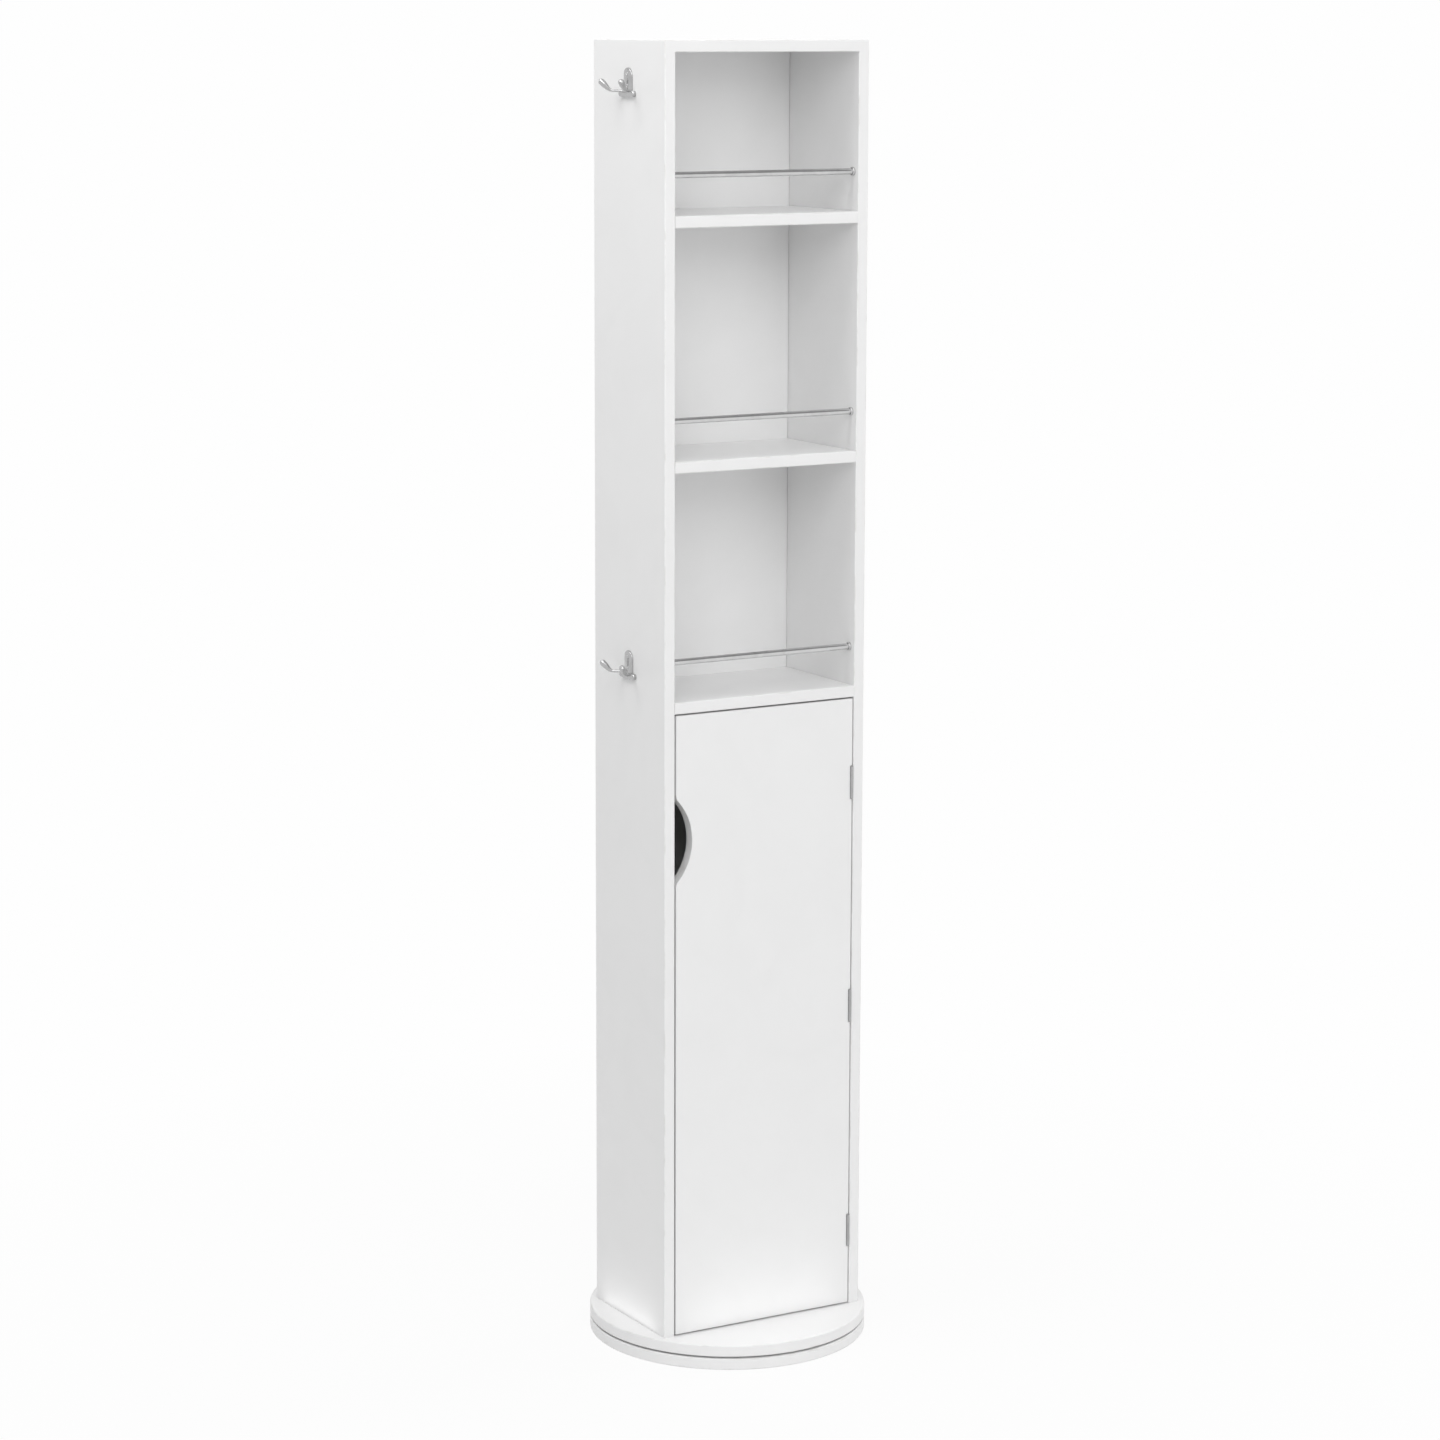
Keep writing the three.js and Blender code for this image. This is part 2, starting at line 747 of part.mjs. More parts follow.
// A round bar swept along the centreline in the plane of +reach and +Z, closed at both ends
function hookArm() {
  const path = armCentreline();
  const length = path.getLength();
  const round_end_share = hook_arm_tip_diameter / 2 / length;
  const positions = [];
  const rings = armShares(round_end_share);
  for (const share of rings) {
    const point = path.getPointAt(share);
    const tangent = path.getTangentAt(share);
    const radius = armRadius(share, round_end_share);
    for (let k = 0; k < arm_sides; k += 1) {
      const angle = (2 * Math.PI * k) / arm_sides;
      const in_plane = radius * Math.cos(angle);
      const sideways = radius * Math.sin(angle);
      positions.push(point.x - tangent.y * in_plane, sideways, point.y + tangent.x * in_plane);
    }
  }
  const root = positions.length / 3;
  positions.push(0, 0, 0);
  const end = path.getPointAt(1);
  positions.push(end.x, 0, end.y);
  const index = [];
  for (let k = 0; k < arm_sides; k += 1) {
    const next = (k + 1) % arm_sides;
    index.push(root, k, next);
    for (let ring = 0; ring < rings.length - 1; ring += 1) {
      const a = ring * arm_sides;
      const b = a + arm_sides;
      index.push(a + k, b + k, a + next, a + next, b + k, b + next);
    }
    const last = (rings.length - 1) * arm_sides;
    index.push(last + k, root + 1, last + next);
  }
  const geometry = new THREE.BufferGeometry();
  geometry.setAttribute('position', new THREE.BufferAttribute(new Float32Array(positions), 3));
  geometry.setIndex(index);
  return geometry;
}

// The whole hook is one casting: a round-topped plate, a wide foot and two arms
function hookGeometry() {
  const plate = easedPlate(hookPlateOutline(), hook_plate_thickness, hook_plate_easing, arm_sides);
  plate.applyMatrix4(run_along_minus_x);
  const foot_corner = hook_foot_height / 2 - hook_plate_easing;
  const foot_outline = roundedRectangle(hook_foot_width, hook_foot_height, foot_corner);
  const foot = easedPlate(foot_outline, hook_foot_thickness, hook_plate_easing, corner_segments);
  foot.applyMatrix4(run_along_minus_x);
  at(foot, 0, 0, -(hook_plate_height - hook_foot_height) / 2);
  const arms = [-1, 1].map((side) => {
    const arm = hookArm();
    arm.rotateZ(Math.PI - side * hook_arm_splay);
    return at(arm, -hook_foot_thickness / 2, side * (hook_arm_spread / 2), -hook_arm_below_centre);
  });
  return joined([plate, foot, ...arms]);
}

function coatHook(name, side, level) {
  const geometry = hookGeometry();
  if (side > 0) {
    geometry.rotateZ(Math.PI);
  }
  return mesh(name, geometry, satin_nickel(), side * (half_width + joint_line), 0, level);
}

function coatHooks() {
  const levels = {
    upper: overall_height - upper_hook_below_top,
    lower: shelf_tops.shelf_lower + lower_hook_above_shelf,
  };
  return Object.entries(levels).flatMap(([place, level]) => [
    coatHook(`coat_hook_left_${place}`, -1, level),
    coatHook(`coat_hook_right_${place}`, 1, level),
  ]);
}

// The whole object, as one group for each thing that moves by itself

const rings = raceRings();
const hinge_pieces = hinges();

const base = new THREE.Group();
base.add(baseDisc(), rings.outer);

const cabinet = new THREE.Group();
cabinet.add(turningDisc(), rings.inner);
cabinet.add(sidePanel('side_panel_left', -1), sidePanel('side_panel_right', 1), topPanel(), backPanel());
cabinet.add(...Object.keys(shelf_tops).map(fixedShelf));
cabinet.add(mirrorGlass(), catchBody());
cabinet.add(...galleries(), ...cupboardShelves(), ...hinge_pieces.frame_side, ...coatHooks());

const door_leaf = new THREE.Group();
door_leaf.add(door(), catchStriker(), ...hinge_pieces.door_side);

const revolving_cabinet = new THREE.Group();
revolving_cabinet.add(base, ballRing(), cabinet, door_leaf);

export default revolving_cabinet;
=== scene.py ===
"""Dresses a revolving cabinet: rounds its boards, details its fittings, finishes every surface and lights it."""

import json
import math

import bmesh
import bpy
from bpy.props import FloatProperty, FloatVectorProperty, IntProperty, PointerProperty
from mathutils import Matrix, Vector


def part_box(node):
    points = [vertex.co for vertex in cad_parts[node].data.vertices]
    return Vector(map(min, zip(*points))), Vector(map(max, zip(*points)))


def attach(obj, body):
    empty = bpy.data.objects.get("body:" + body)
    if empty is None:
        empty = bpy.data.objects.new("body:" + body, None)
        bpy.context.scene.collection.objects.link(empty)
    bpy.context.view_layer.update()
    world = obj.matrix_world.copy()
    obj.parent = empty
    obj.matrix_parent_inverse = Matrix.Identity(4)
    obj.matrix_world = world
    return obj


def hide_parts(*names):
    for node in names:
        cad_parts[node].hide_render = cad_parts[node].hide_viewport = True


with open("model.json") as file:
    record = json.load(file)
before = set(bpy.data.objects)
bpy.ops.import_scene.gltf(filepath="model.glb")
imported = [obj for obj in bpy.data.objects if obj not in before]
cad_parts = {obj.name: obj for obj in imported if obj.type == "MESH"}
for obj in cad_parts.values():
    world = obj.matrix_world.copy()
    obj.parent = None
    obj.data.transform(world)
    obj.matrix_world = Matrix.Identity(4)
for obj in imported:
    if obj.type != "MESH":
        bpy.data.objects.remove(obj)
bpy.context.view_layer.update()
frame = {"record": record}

bl_info = {
    "name": "Revolving Cabinet Dresser",
    "version": (1, 0, 0),
    "blender": (4, 5, 0),
    "location": "3D View > Sidebar > Cabinet",
    "description": "Models the boards and fittings of a revolving cabinet and finishes them",
    "category": "Object",
}

BODY_OF = {node: body for body, nodes in frame["record"]["behaviour"]["bodies"].items() for node in nodes}
LEVELS = ("upper", "middle", "lower")
SIDES = {"left": -1, "right": 1}
HINGES = ("bottom", "middle", "top")
AXES = (Vector((1, 0, 0)), Vector((0, 1, 0)), Vector((0, 0, 1)))
FULL_TURN = 2 * math.pi

HAIR = 0.00001          # places closer than this count as one
SEAM = 0.000002         # vertices closer than this are merged
PAST = 0.001            # how far a cutter reaches past what it cuts
SMALL_STEPS = 24        # sides of screws, holes and balls
LARGE_STEPS = 240       # sides of bars with a large radius


# Sizes and colours that a user would change

def length(name, description, default, low, high):
    """A size in metres, with the limits that a user may set it to."""
    return FloatProperty(
        name=name, description=description, default=default, min=low, max=high, precision=4, unit="LENGTH")


def colour(name, description, default):
    """A colour in linear red, green and blue."""
    return FloatVectorProperty(
        name=name, description=description, default=default, min=0, max=1, size=3, subtype="COLOR")


def power(name, description, default):
    """A lamp's power in watts."""
    return FloatProperty(name=name, description=description, default=default, min=0, subtype="POWER")


def angle(name, description, degrees, **limits):
    """An angle, given here in degrees."""
    return FloatProperty(
        name=name, description=description, default=math.radians(degrees), precision=5,
        subtype="ANGLE", unit="ROTATION", **limits)


class CabinetSizes(bpy.types.PropertyGroup):
    """Sizes of the details that are added to the frame."""

    board_edge: length("Board Edge", "Radius along the edges of the lacquered boards", 0.0014, 0.0003, 0.004)
    joint_edge: length("Joint Edge", "Chamfer around the pockets of the ball race", 0.0005, 0.0001, 0.002)
    corner_gap: length("Corner Gap", "Depth of the line where boards meet in a corner", 0.0014, 0.0003, 0.003)
    disc_edge: length("Disc Edge", "Radius along the rims of the two discs", 0.0018, 0.0005, 0.005)

    pocket_depth: length("Race Pocket Depth", "Depth of the pocket for the ball race", 0.003, 0.001, 0.008)
    pocket_play: length("Race Pocket Play", "Room beside a race ring in its pocket", 0.0005, 0.0001, 0.002)
    race_ring_width: length("Race Ring Width", "Steel in one race ring, inside to outside", 0.00825, 0.004, 0.02)
    groove_depth: length("Race Groove Radius", "Radius of the groove the balls run in", 0.0022, 0.0005, 0.003)
    ball_diameter: length("Ball Diameter", "Diameter of the balls in the race", 0.005, 0.002, 0.008)
    ball_count: IntProperty(name="Balls", description="Number of balls in the race", default=14, min=6, max=28)
    cage_thickness: length("Cage Thickness", "Thickness of the band the balls sit in", 0.0016, 0.0005, 0.003)
    cage_height: length("Cage Height", "Height of the band the balls sit in", 0.0034, 0.002, 0.005)

    pin_diameter: length("Shelf Pin Diameter", "Diameter of pins, spigots and their holes", 0.005, 0.003, 0.008)
    pin_row_pitch: length("Pin Row Pitch", "Height between rows of pin holes", 0.032, 0.016, 0.064)
    pin_buried_length: length("Pin in Panel", "Length of a pin inside the side panel", 0.008, 0.004, 0.012)
    pin_collar_length: length("Pin Collar", "Thickness of a pin's collar", 0.0012, 0.0005, 0.003)
    hole_depth: length("Hole Depth", "Depth of the blind holes in the side panels", 0.009, 0.004, 0.012)
    socket_length: length("Rail Socket Length", "How far a rail's socket stands out", 0.003, 0.002, 0.01)

    cutout_chord: length("Cut-out Length", "Length of the finger cut-out", 0.110, 0.05, 0.2)
    cutout_depth: length("Cut-out Depth", "Depth of the finger cut-out", 0.0234, 0.01, 0.05)
    cutout_flare: length("Cut-out Flare", "Radius that eases the cut-out into the door's edge", 0.012, 0.002, 0.03)
    cutout_below_top: length("Cut-out Below Top", "Door top to the cut-out's middle", 0.162, 0.08, 0.4)

    knuckle_diameter: length("Knuckle Diameter", "Diameter of the hinge knuckles", 0.0042, 0.003, 0.008)
    knuckle_bore: length("Knuckle Bore", "Diameter of the hole through the knuckles", 0.0026, 0.001, 0.004)
    door_knuckle_length: length("Door Knuckle", "Length of the knuckle on the door's leaf", 0.017, 0.01, 0.03)
    groove_play: length("Knuckle Groove Play", "Room around a knuckle in the door's groove", 0.0003, 0.0001, 0.001)
    leaf_thickness: length("Leaf Thickness", "Thickness of the hinge leaves", 0.0008, 0.0005, 0.0015)
    pin_head_thickness: length("Pin Head", "Thickness of the heads of the hinge pins", 0.0008, 0.0004, 0.002)
    screw_head: length("Screw Head", "Diameter of the coat hooks' screw heads", 0.0052, 0.003, 0.008)

    hook_plate_width: length("Hook Plate Width", "Width of a coat hook's plate", 0.021, 0.01, 0.04)
    hook_plate_height: length("Hook Plate Height", "Height of a coat hook's plate", 0.036, 0.02, 0.06)
    hook_plate_thickness: length("Hook Plate Thickness", "Thickness of the plate", 0.003, 0.001, 0.006)
    hook_plate_dome: length("Hook Plate Dome", "How far the plate thins towards its sides", 0.0016, 0.0002, 0.003)
    hook_foot_width: length("Hook Foot Width", "Width of the foot that carries the arms", 0.038, 0.02, 0.06)
    hook_foot_height: length("Hook Foot Height", "Height of that foot", 0.0075, 0.004, 0.02)
    hook_foot_thickness: length("Hook Foot Thickness", "Thickness of that foot", 0.005, 0.002, 0.01)
    hook_arm_below_centre: length("Hook Arm Level", "Arms below the plate's middle", 0.0105, 0.0, 0.02)
    hook_arm_spread: length("Hook Arm Spread", "Between the roots of the two arms", 0.024, 0.01, 0.04)
    hook_arm_run: length("Hook Arm Run", "Level part of an arm", 0.0155, 0.005, 0.03)
    hook_arm_reach: length("Hook Arm Reach", "How far an arm reaches along its own line", 0.0288, 0.01, 0.05)
    hook_arm_rise: length("Hook Arm Rise", "How far an arm rises", 0.0138, 0.005, 0.03)
    hook_arm_bend: length("Hook Arm Bend", "Half the length of the bend in an arm", 0.004, 0.001, 0.008)
    hook_arm_root: length("Hook Arm Root", "Diameter of an arm at its root", 0.0034, 0.002, 0.006)
    hook_arm_tip: length("Hook Arm Tip", "Diameter of an arm near its tip", 0.008, 0.003, 0.012)
    hook_arm_splay: angle("Hook Arm Splay", "Turn of each arm outwards", 32, min=0, max=1)
    hook_screw_rises: FloatVectorProperty(
        name="Hook Screws", description="Heights of the two screws above the plate's middle",
        default=(0.0100, -0.0050), size=2, precision=4, unit="LENGTH")
    casting_grain: length("Casting Fineness", "Mesh size of the coat hooks' castings", 0.00045, 0.0003, 0.001)


class CabinetColours(bpy.types.PropertyGroup):
    """Colours of the finishes."""

    board: colour("Board", "White lacquer of the boards", (0.86, 0.86, 0.86))
    board_wear: colour("Worn Board Edge", "The lacquer where its edges have been rubbed", (0.72, 0.712, 0.698))
    chrome: colour("Chrome", "Plating of the rails and their sockets", (0.62, 0.62, 0.623))
    nickel: colour("Satin Nickel", "Plating of the coat hooks", (0.46, 0.46, 0.462))
    hinge: colour("Hinge Steel", "Plated steel of the hinges and the striker", (0.42, 0.42, 0.424))
    bearing: colour("Bearing Steel", "Steel of the ball race and the shelf pins", (0.50, 0.50, 0.51))
    silver: colour("Mirror Silver", "Silvering of the mirror", (0.90, 0.91, 0.91))
    glass_edge: colour("Glass Edge", "Ground edge of the mirror glass", (0.45, 0.60, 0.54))
    plastic: colour("White Plastic", "Housing of the magnetic catch", (0.80, 0.80, 0.79))
    floor: colour("Floor", "Plain floor of the studio", (0.845, 0.845, 0.845))


class CabinetStudio(bpy.types.PropertyGroup):
    """Camera and light."""

    camera_place: FloatVectorProperty(
        name="Camera Place", description="Where the camera stands",
        default=(-2.47532, -4.22250, 1.71960), size=3, precision=5, subtype="TRANSLATION", unit="LENGTH")
    camera_yaw: angle("Camera Yaw", "Turn of the view to the right of straight ahead", 29.8186)
    camera_pitch: angle("Camera Pitch", "Tilt of the view upwards", -9.3798)
    camera_roll: angle("Camera Roll", "Turn of the camera about its own view", 0.0999)
    camera_lens: FloatProperty(
        name="Lens", description="Focal length in millimetres on a 36 mm wide frame",
        default=95.79, min=10, max=300, precision=2)
    camera_shift: FloatVectorProperty(
        name="Camera Shift", description="Shift of the frame, as shares of its width",
        default=(0.0192, -0.0498), size=2, precision=4)
    key_power: power("Key Light", "Power of the soft light above the front, to the left", 79)
    front_power: power("Front Light", "Power of the broad light straight in front", 27)
    left_power: power("Left Light", "Power of the soft light high on the left", 24)
    right_power: power("Right Light", "Power of the soft light on the right", 18)
    top_power: power("Top Light", "Power of the soft light high above the foot", 7)
    foot_power: power("Foot Glow", "Power of the glow of the foot disc on the door above it", 0.022)
    ambient: FloatProperty(
        name="Ambient Light", description="Level of the light from all round", default=0.465, min=0, max=2)


# Selecting, shaping and finishing

def deselect():
    bpy.ops.object.select_all(action="DESELECT")


def take(*pieces):
    """Selects these pieces alone and makes the first one active."""
    deselect()
    for piece in pieces:
        piece.select_set(True)
    bpy.context.view_layer.objects.active = pieces[0]


def edit(piece):
    take(piece)
    bpy.ops.object.mode_set(mode="EDIT")


def leave():
    bpy.ops.object.mode_set(mode="OBJECT")


def settle():
    """Applies the place, turn and size of what is selected to its mesh."""
    bpy.ops.object.transform_apply(location=True, rotation=True, scale=True)


def near(a, b):
    return abs(a - b) < HAIR


def along(axis, test=None):
    """A test for the edges along x, y or z, whose first end passes a further test where there is one."""
    others = [other for other in "xyz" if other != axis]
    return lambda a, b: all(near(getattr(a, other), getattr(b, other)) for other in others) and (not test or test(a))


def level_with(axis, place):
    """A test for the edges in the plane at a place on x, y or z."""
    return lambda a, b: near(getattr(a, axis), place) and near(getattr(b, axis), place)


def middle_of(node):
    low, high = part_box(node)
    return (low + high) / 2


def name_piece(piece, name):
    piece.name = name
    piece.data.name = name
    return piece


def block(name, low, high):
    """A box between two corners, to start a board from."""
    deselect()
    low, high = Vector(low), Vector(high)
    bpy.ops.mesh.primitive_cube_add(size=1, location=(low + high) / 2, scale=high - low)
    settle()
    return name_piece(bpy.context.object, name)


def rod(name, start, end, radius, sides):
    """A round bar from one point to another, to cut holes with."""
    deselect()
    start, end = Vector(start), Vector(end)
    turn = Vector((0, 0, 1)).rotation_difference(end - start).to_euler()
    bpy.ops.mesh.primitive_cylinder_add(
        vertices=sides, radius=radius, depth=(end - start).length, location=(start + end) / 2, rotation=turn)
    settle()
    return name_piece(bpy.context.object, name)


def close_seams():
    """In edit mode: merges what lies together and turns every face outwards."""
    bpy.ops.mesh.select_all(action="SELECT")
    bpy.ops.mesh.remove_doubles(threshold=SEAM)
    bpy.ops.mesh.normals_make_consistent(inside=False)


def turned(name, profile, centre, axis, steps):
    """A profile of (radius, distance along the axis) points, turned about the axis through centre."""
    deselect()
    axis = Vector(axis)
    outward = axis.orthogonal().normalized()
    points = [Vector(centre) + outward * radius + axis * distance for radius, distance in profile]
    bpy.ops.mesh.primitive_plane_add(size=1, location=(0, 0, 0))
    piece = name_piece(bpy.context.object, name)
    edit(piece)
    bpy.ops.mesh.select_mode(type="VERT")
    bpy.ops.mesh.select_all(action="SELECT")
    bpy.ops.mesh.merge(type="CENTER")
    bpy.ops.transform.translate(value=points[0])
    for start, end in zip(points, points[1:]):
        bpy.ops.mesh.extrude_vertices_move(TRANSFORM_OT_translate={"value": end - start})
    bpy.ops.mesh.select_all(action="SELECT")
    bpy.ops.mesh.spin(steps=steps, angle=FULL_TURN, center=centre, axis=axis)
    close_seams()
    leave()
    return piece


def turned_across(name, profile, low, high, sign, steps):
    """A profile turned about the middle of a box, along x, from its side towards sign to the other."""
    middle = (low + high) / 2
    return turned(name, profile, (high.x if sign > 0 else low.x, middle.y, middle.z), (-sign, 0, 0), steps)


def chamfered(radius, start, end, cut):
    """Points of the outside of a profile, with its two corners cut off."""
    return [(radius - cut, start), (radius, start + cut), (radius, end - cut), (radius - cut, end)]


def arc(centre_radius, centre_height, radius, start, end, steps=5):
    """Points of a rounded corner in a profile, from one angle to another in degrees."""
    angles = [math.radians(start + (end - start) * i / steps) for i in range(steps + 1)]
    return [(centre_radius + radius * math.cos(a), centre_height + radius * math.sin(a)) for a in angles]


def modify(piece, kind, **settings):
    """Adds a modifier and applies it."""
    take(piece)
    bpy.ops.object.modifier_add(type=kind)
    modifier = piece.modifiers[-1]
    for name, value in settings.items():
        setattr(modifier, name, value)
    bpy.ops.object.modifier_apply(modifier=modifier.name)


def joined(name, *pieces):
    take(*pieces)
    if len(pieces) > 1:
        bpy.ops.object.join()
    return name_piece(bpy.context.object, name)


def combine(piece, operation, *tools):
    """Cuts the tools out of the piece, or adds them to it, and takes the tools away."""
    tool = joined("tool", *tools)
    modify(piece, "BOOLEAN", operation=operation, solver="EXACT", object=tool)
    bpy.data.meshes.remove(tool.data)


def round_edges(piece, radius, test, segments=3):
    """Rounds the edges whose two ends pass a test."""
    edit(piece)
    bpy.ops.mesh.select_mode(type="EDGE")
    bpy.ops.mesh.select_all(action="DESELECT")
    shape = bmesh.from_edit_mesh(piece.data)
    found = [line for line in shape.edges if test(line.verts[0].co, line.verts[1].co)]
    if not found:
        raise RuntimeError(f"no edge of {piece.name} passes the test")
    for line in found:
        line.select_set(True)
    shape.select_flush_mode()
    bmesh.update_edit_mesh(piece.data)
    bpy.ops.mesh.bevel(offset=radius, segments=segments, affect="EDGES")
    leave()


def copy_of(piece, name, move=(0, 0, 0), turn=0.0):
    """A copy with its own mesh, turned about the vertical axis and then moved."""
    take(piece)
    bpy.ops.object.duplicate(linked=False)
    twin = name_piece(bpy.context.object, name)
    twin.rotation_euler.z = turn
    twin.location = Vector(move)
    settle()
    return twin


def mark_edges(piece, test):
    """Marks the faces whose normals pass a test as rounded edges, for the wear in the finish."""
    mark = piece.data.attributes.new("edge", "FLOAT", "FACE")
    for face, value in zip(piece.data.polygons, mark.data):
        value.value = float(test(face.normal))


def off_axis(normal):
    return max(abs(part) for part in normal) < 0.9995


def slanted(part):
    """Whether a part of a normal is neither nothing nor all of it."""
    return 0.02 < abs(part) < 0.999


def smooth(piece, degrees=35):
    """Smooth shading that leaves sharp corners sharp and flat faces flat."""
    take(piece)
    bpy.ops.object.shade_smooth_by_angle(angle=math.radians(degrees))
    modify(piece, "WEIGHTED_NORMAL", keep_sharp=True, weight=100)


def cover(piece, *finishes):
    piece.data.materials.clear()
    for name in finishes:
        piece.data.materials.append(bpy.data.materials[f"{name}_finish"])


def fit(piece, node, slot, *finishes):
    """Gives a piece its finish and lets it stand for its node."""
    cover(piece, *(finishes or (slot,)))
    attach(piece, BODY_OF[node])
    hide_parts(node)


def dress(piece, node, slot, worn=None):
    """Smooths a piece and fits it to its node. Worn tells by their normals which faces the wear reaches."""
    if worn:
        mark_edges(piece, worn)
    smooth(piece)
    fit(piece, node, slot)


def add_to(piece, body, slot):
    """Gives a small added piece its finish and its body."""
    cover(piece, slot)
    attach(piece, body)


def add_joined(name, pieces, body, slot):
    """Joins small pieces, such as the heads of screws, into one added piece."""
    piece = joined(name, *pieces)
    smooth(piece)
    add_to(piece, body, slot)


# Finishes

def feed(tree, socket, value):
    """Gives a socket another socket to read, or a value of its own."""
    if isinstance(value, bpy.types.NodeSocket):
        tree.links.new(value, socket)
    else:
        socket.default_value = value


def add_node(tree, kind, settings=None, **inputs):
    """A node with its settings and inputs. An input's name has underscores for its spaces."""
    made = tree.nodes.new(kind)
    for name, value in (settings or {}).items():
        setattr(made, name, value)
    for name, value in inputs.items():
        feed(tree, made.inputs[name.replace("_", " ")], value)
    return made


def calculate(tree, operation, *values):
    """A sum of one, two or three values."""
    made = add_node(tree, "ShaderNodeMath", {"operation": operation})
    for socket, value in zip(made.inputs, values):
        feed(tree, socket, value)
    return made.outputs["Value"]


def blend_colours(tree, share, first, second):
    made = add_node(tree, "ShaderNodeMix", {"data_type": "RGBA"})
    for place, value in (("Factor", share), (6, first), (7, second)):
        feed(tree, made.inputs[place], value)
    return made.outputs[2]


def noise(tree, place, scale, detail, distortion=0.0):
    return add_node(
        tree, "ShaderNodeTexNoise", Vector=place, Scale=scale, Detail=detail, Distortion=distortion).outputs["Fac"]


def within(tree, value, start, end, low=0.0, high=1.0):
    """Spreads a value between two limits over a range."""
    return add_node(
        tree, "ShaderNodeMapRange", Value=value, From_Min=start, From_Max=end, To_Min=low, To_Max=high,
    ).outputs["Result"]


def new_group(name, inputs, outputs):
    """A group of shader nodes: its tree, object coordinates, and what it is given and gives back."""
    tree = bpy.data.node_groups.new(name, "ShaderNodeTree")
    for label, value in inputs.items():
        kind = "NodeSocketVector" if isinstance(value, tuple) else "NodeSocketFloat"
        tree.interface.new_socket(name=label, in_out="INPUT", socket_type=kind).default_value = value
    for label in outputs:
        tree.interface.new_socket(name=label, in_out="OUTPUT", socket_type="NodeSocketFloat")
    place = tree.nodes.new("ShaderNodeTexCoord").outputs["Object"]
    return tree, place, tree.nodes.new("NodeGroupInput").outputs, tree.nodes.new("NodeGroupOutput").inputs


def surface_relief_group():
    """Fine relief over a broad unevenness: the skin of lacquer, plating and moulded plastic."""
    tree, place, given, result = new_group(
        "Surface Relief", {"Fine Scale": 600.0, "Broad Scale": 30.0, "Broad Share": 0.5}, ("Height", "Unevenness"))
    fine = noise(tree, place, given["Fine Scale"], 3.0)
    broad = noise(tree, place, given["Broad Scale"], 4.0)
    feed(tree, result["Height"], calculate(tree, "MULTIPLY_ADD", broad, given["Broad Share"], fine))
    feed(tree, result["Unevenness"], broad)


def drawn_lines_group():
    """Long fine lines that a draw bench or a polishing belt leaves on metal."""
    tree, place, given, result = new_group(
        "Drawn Lines", {"Stretch": (1.0, 1.0, 1.0), "Scale": 900.0}, ("Height", "Unevenness"))
    stretched = add_node(tree, "ShaderNodeVectorMath", {"operation": "MULTIPLY"})
    feed(tree, stretched.inputs[0], place)
    feed(tree, stretched.inputs[1], given["Stretch"])
    lines = noise(tree, stretched.outputs["Vector"], given["Scale"], 2.0)
    clouds = noise(tree, place, 90.0, 3.0)
    feed(tree, result["Height"], lines)
    feed(tree, result["Unevenness"], calculate(tree, "MULTIPLY_ADD", clouds, 0.6, lines))


def edge_wear_group():
    """Rubbed patches along the faces that carry the edge mark."""
    tree, place, given, result = new_group("Edge Wear", {"Patch Scale": 60.0, "Amount": 0.5}, ("Mask",))
    mark = add_node(tree, "ShaderNodeAttribute", {"attribute_name": "edge"}).outputs["Fac"]
    patches = within(tree, noise(tree, place, given["Patch Scale"], 6.0), 0.48, 0.66)
    rubbed = calculate(tree, "MULTIPLY", patches, mark)
    feed(tree, result["Mask"], calculate(tree, "MULTIPLY", rubbed, given["Amount"]))


def handling_marks_group():
    """Soft smears where a surface has been touched and wiped."""
    tree, place, given, result = new_group("Handling Marks", {"Smear Scale": 12.0}, ("Smears",))
    clouds = noise(tree, place, given["Smear Scale"], 5.0, distortion=1.2)
    feed(tree, result["Smears"], within(tree, clouds, 0.42, 0.70))


def place_group(tree, name, **inputs):
    made = add_node(tree, "ShaderNodeGroup", {"node_tree": bpy.data.node_groups[name]}, **inputs)
    return made.outputs


def new_finish(name, **settings):
    """A material with its shader's own sockets set. The bare names belong to the CAD nodes' materials."""
    material = bpy.data.materials.new(f"{name}_finish")
    material.use_nodes = True
    shader = material.node_tree.nodes["Principled BSDF"]
    for label, value in settings.items():
        shader.inputs[label.replace("_", " ")].default_value = value
    return material.node_tree, shader.inputs


def opaque(colour, share=1.0):
    """A colour for a node, or a share of it, which is a darker one."""
    return (*(share * part for part in colour), 1.0)


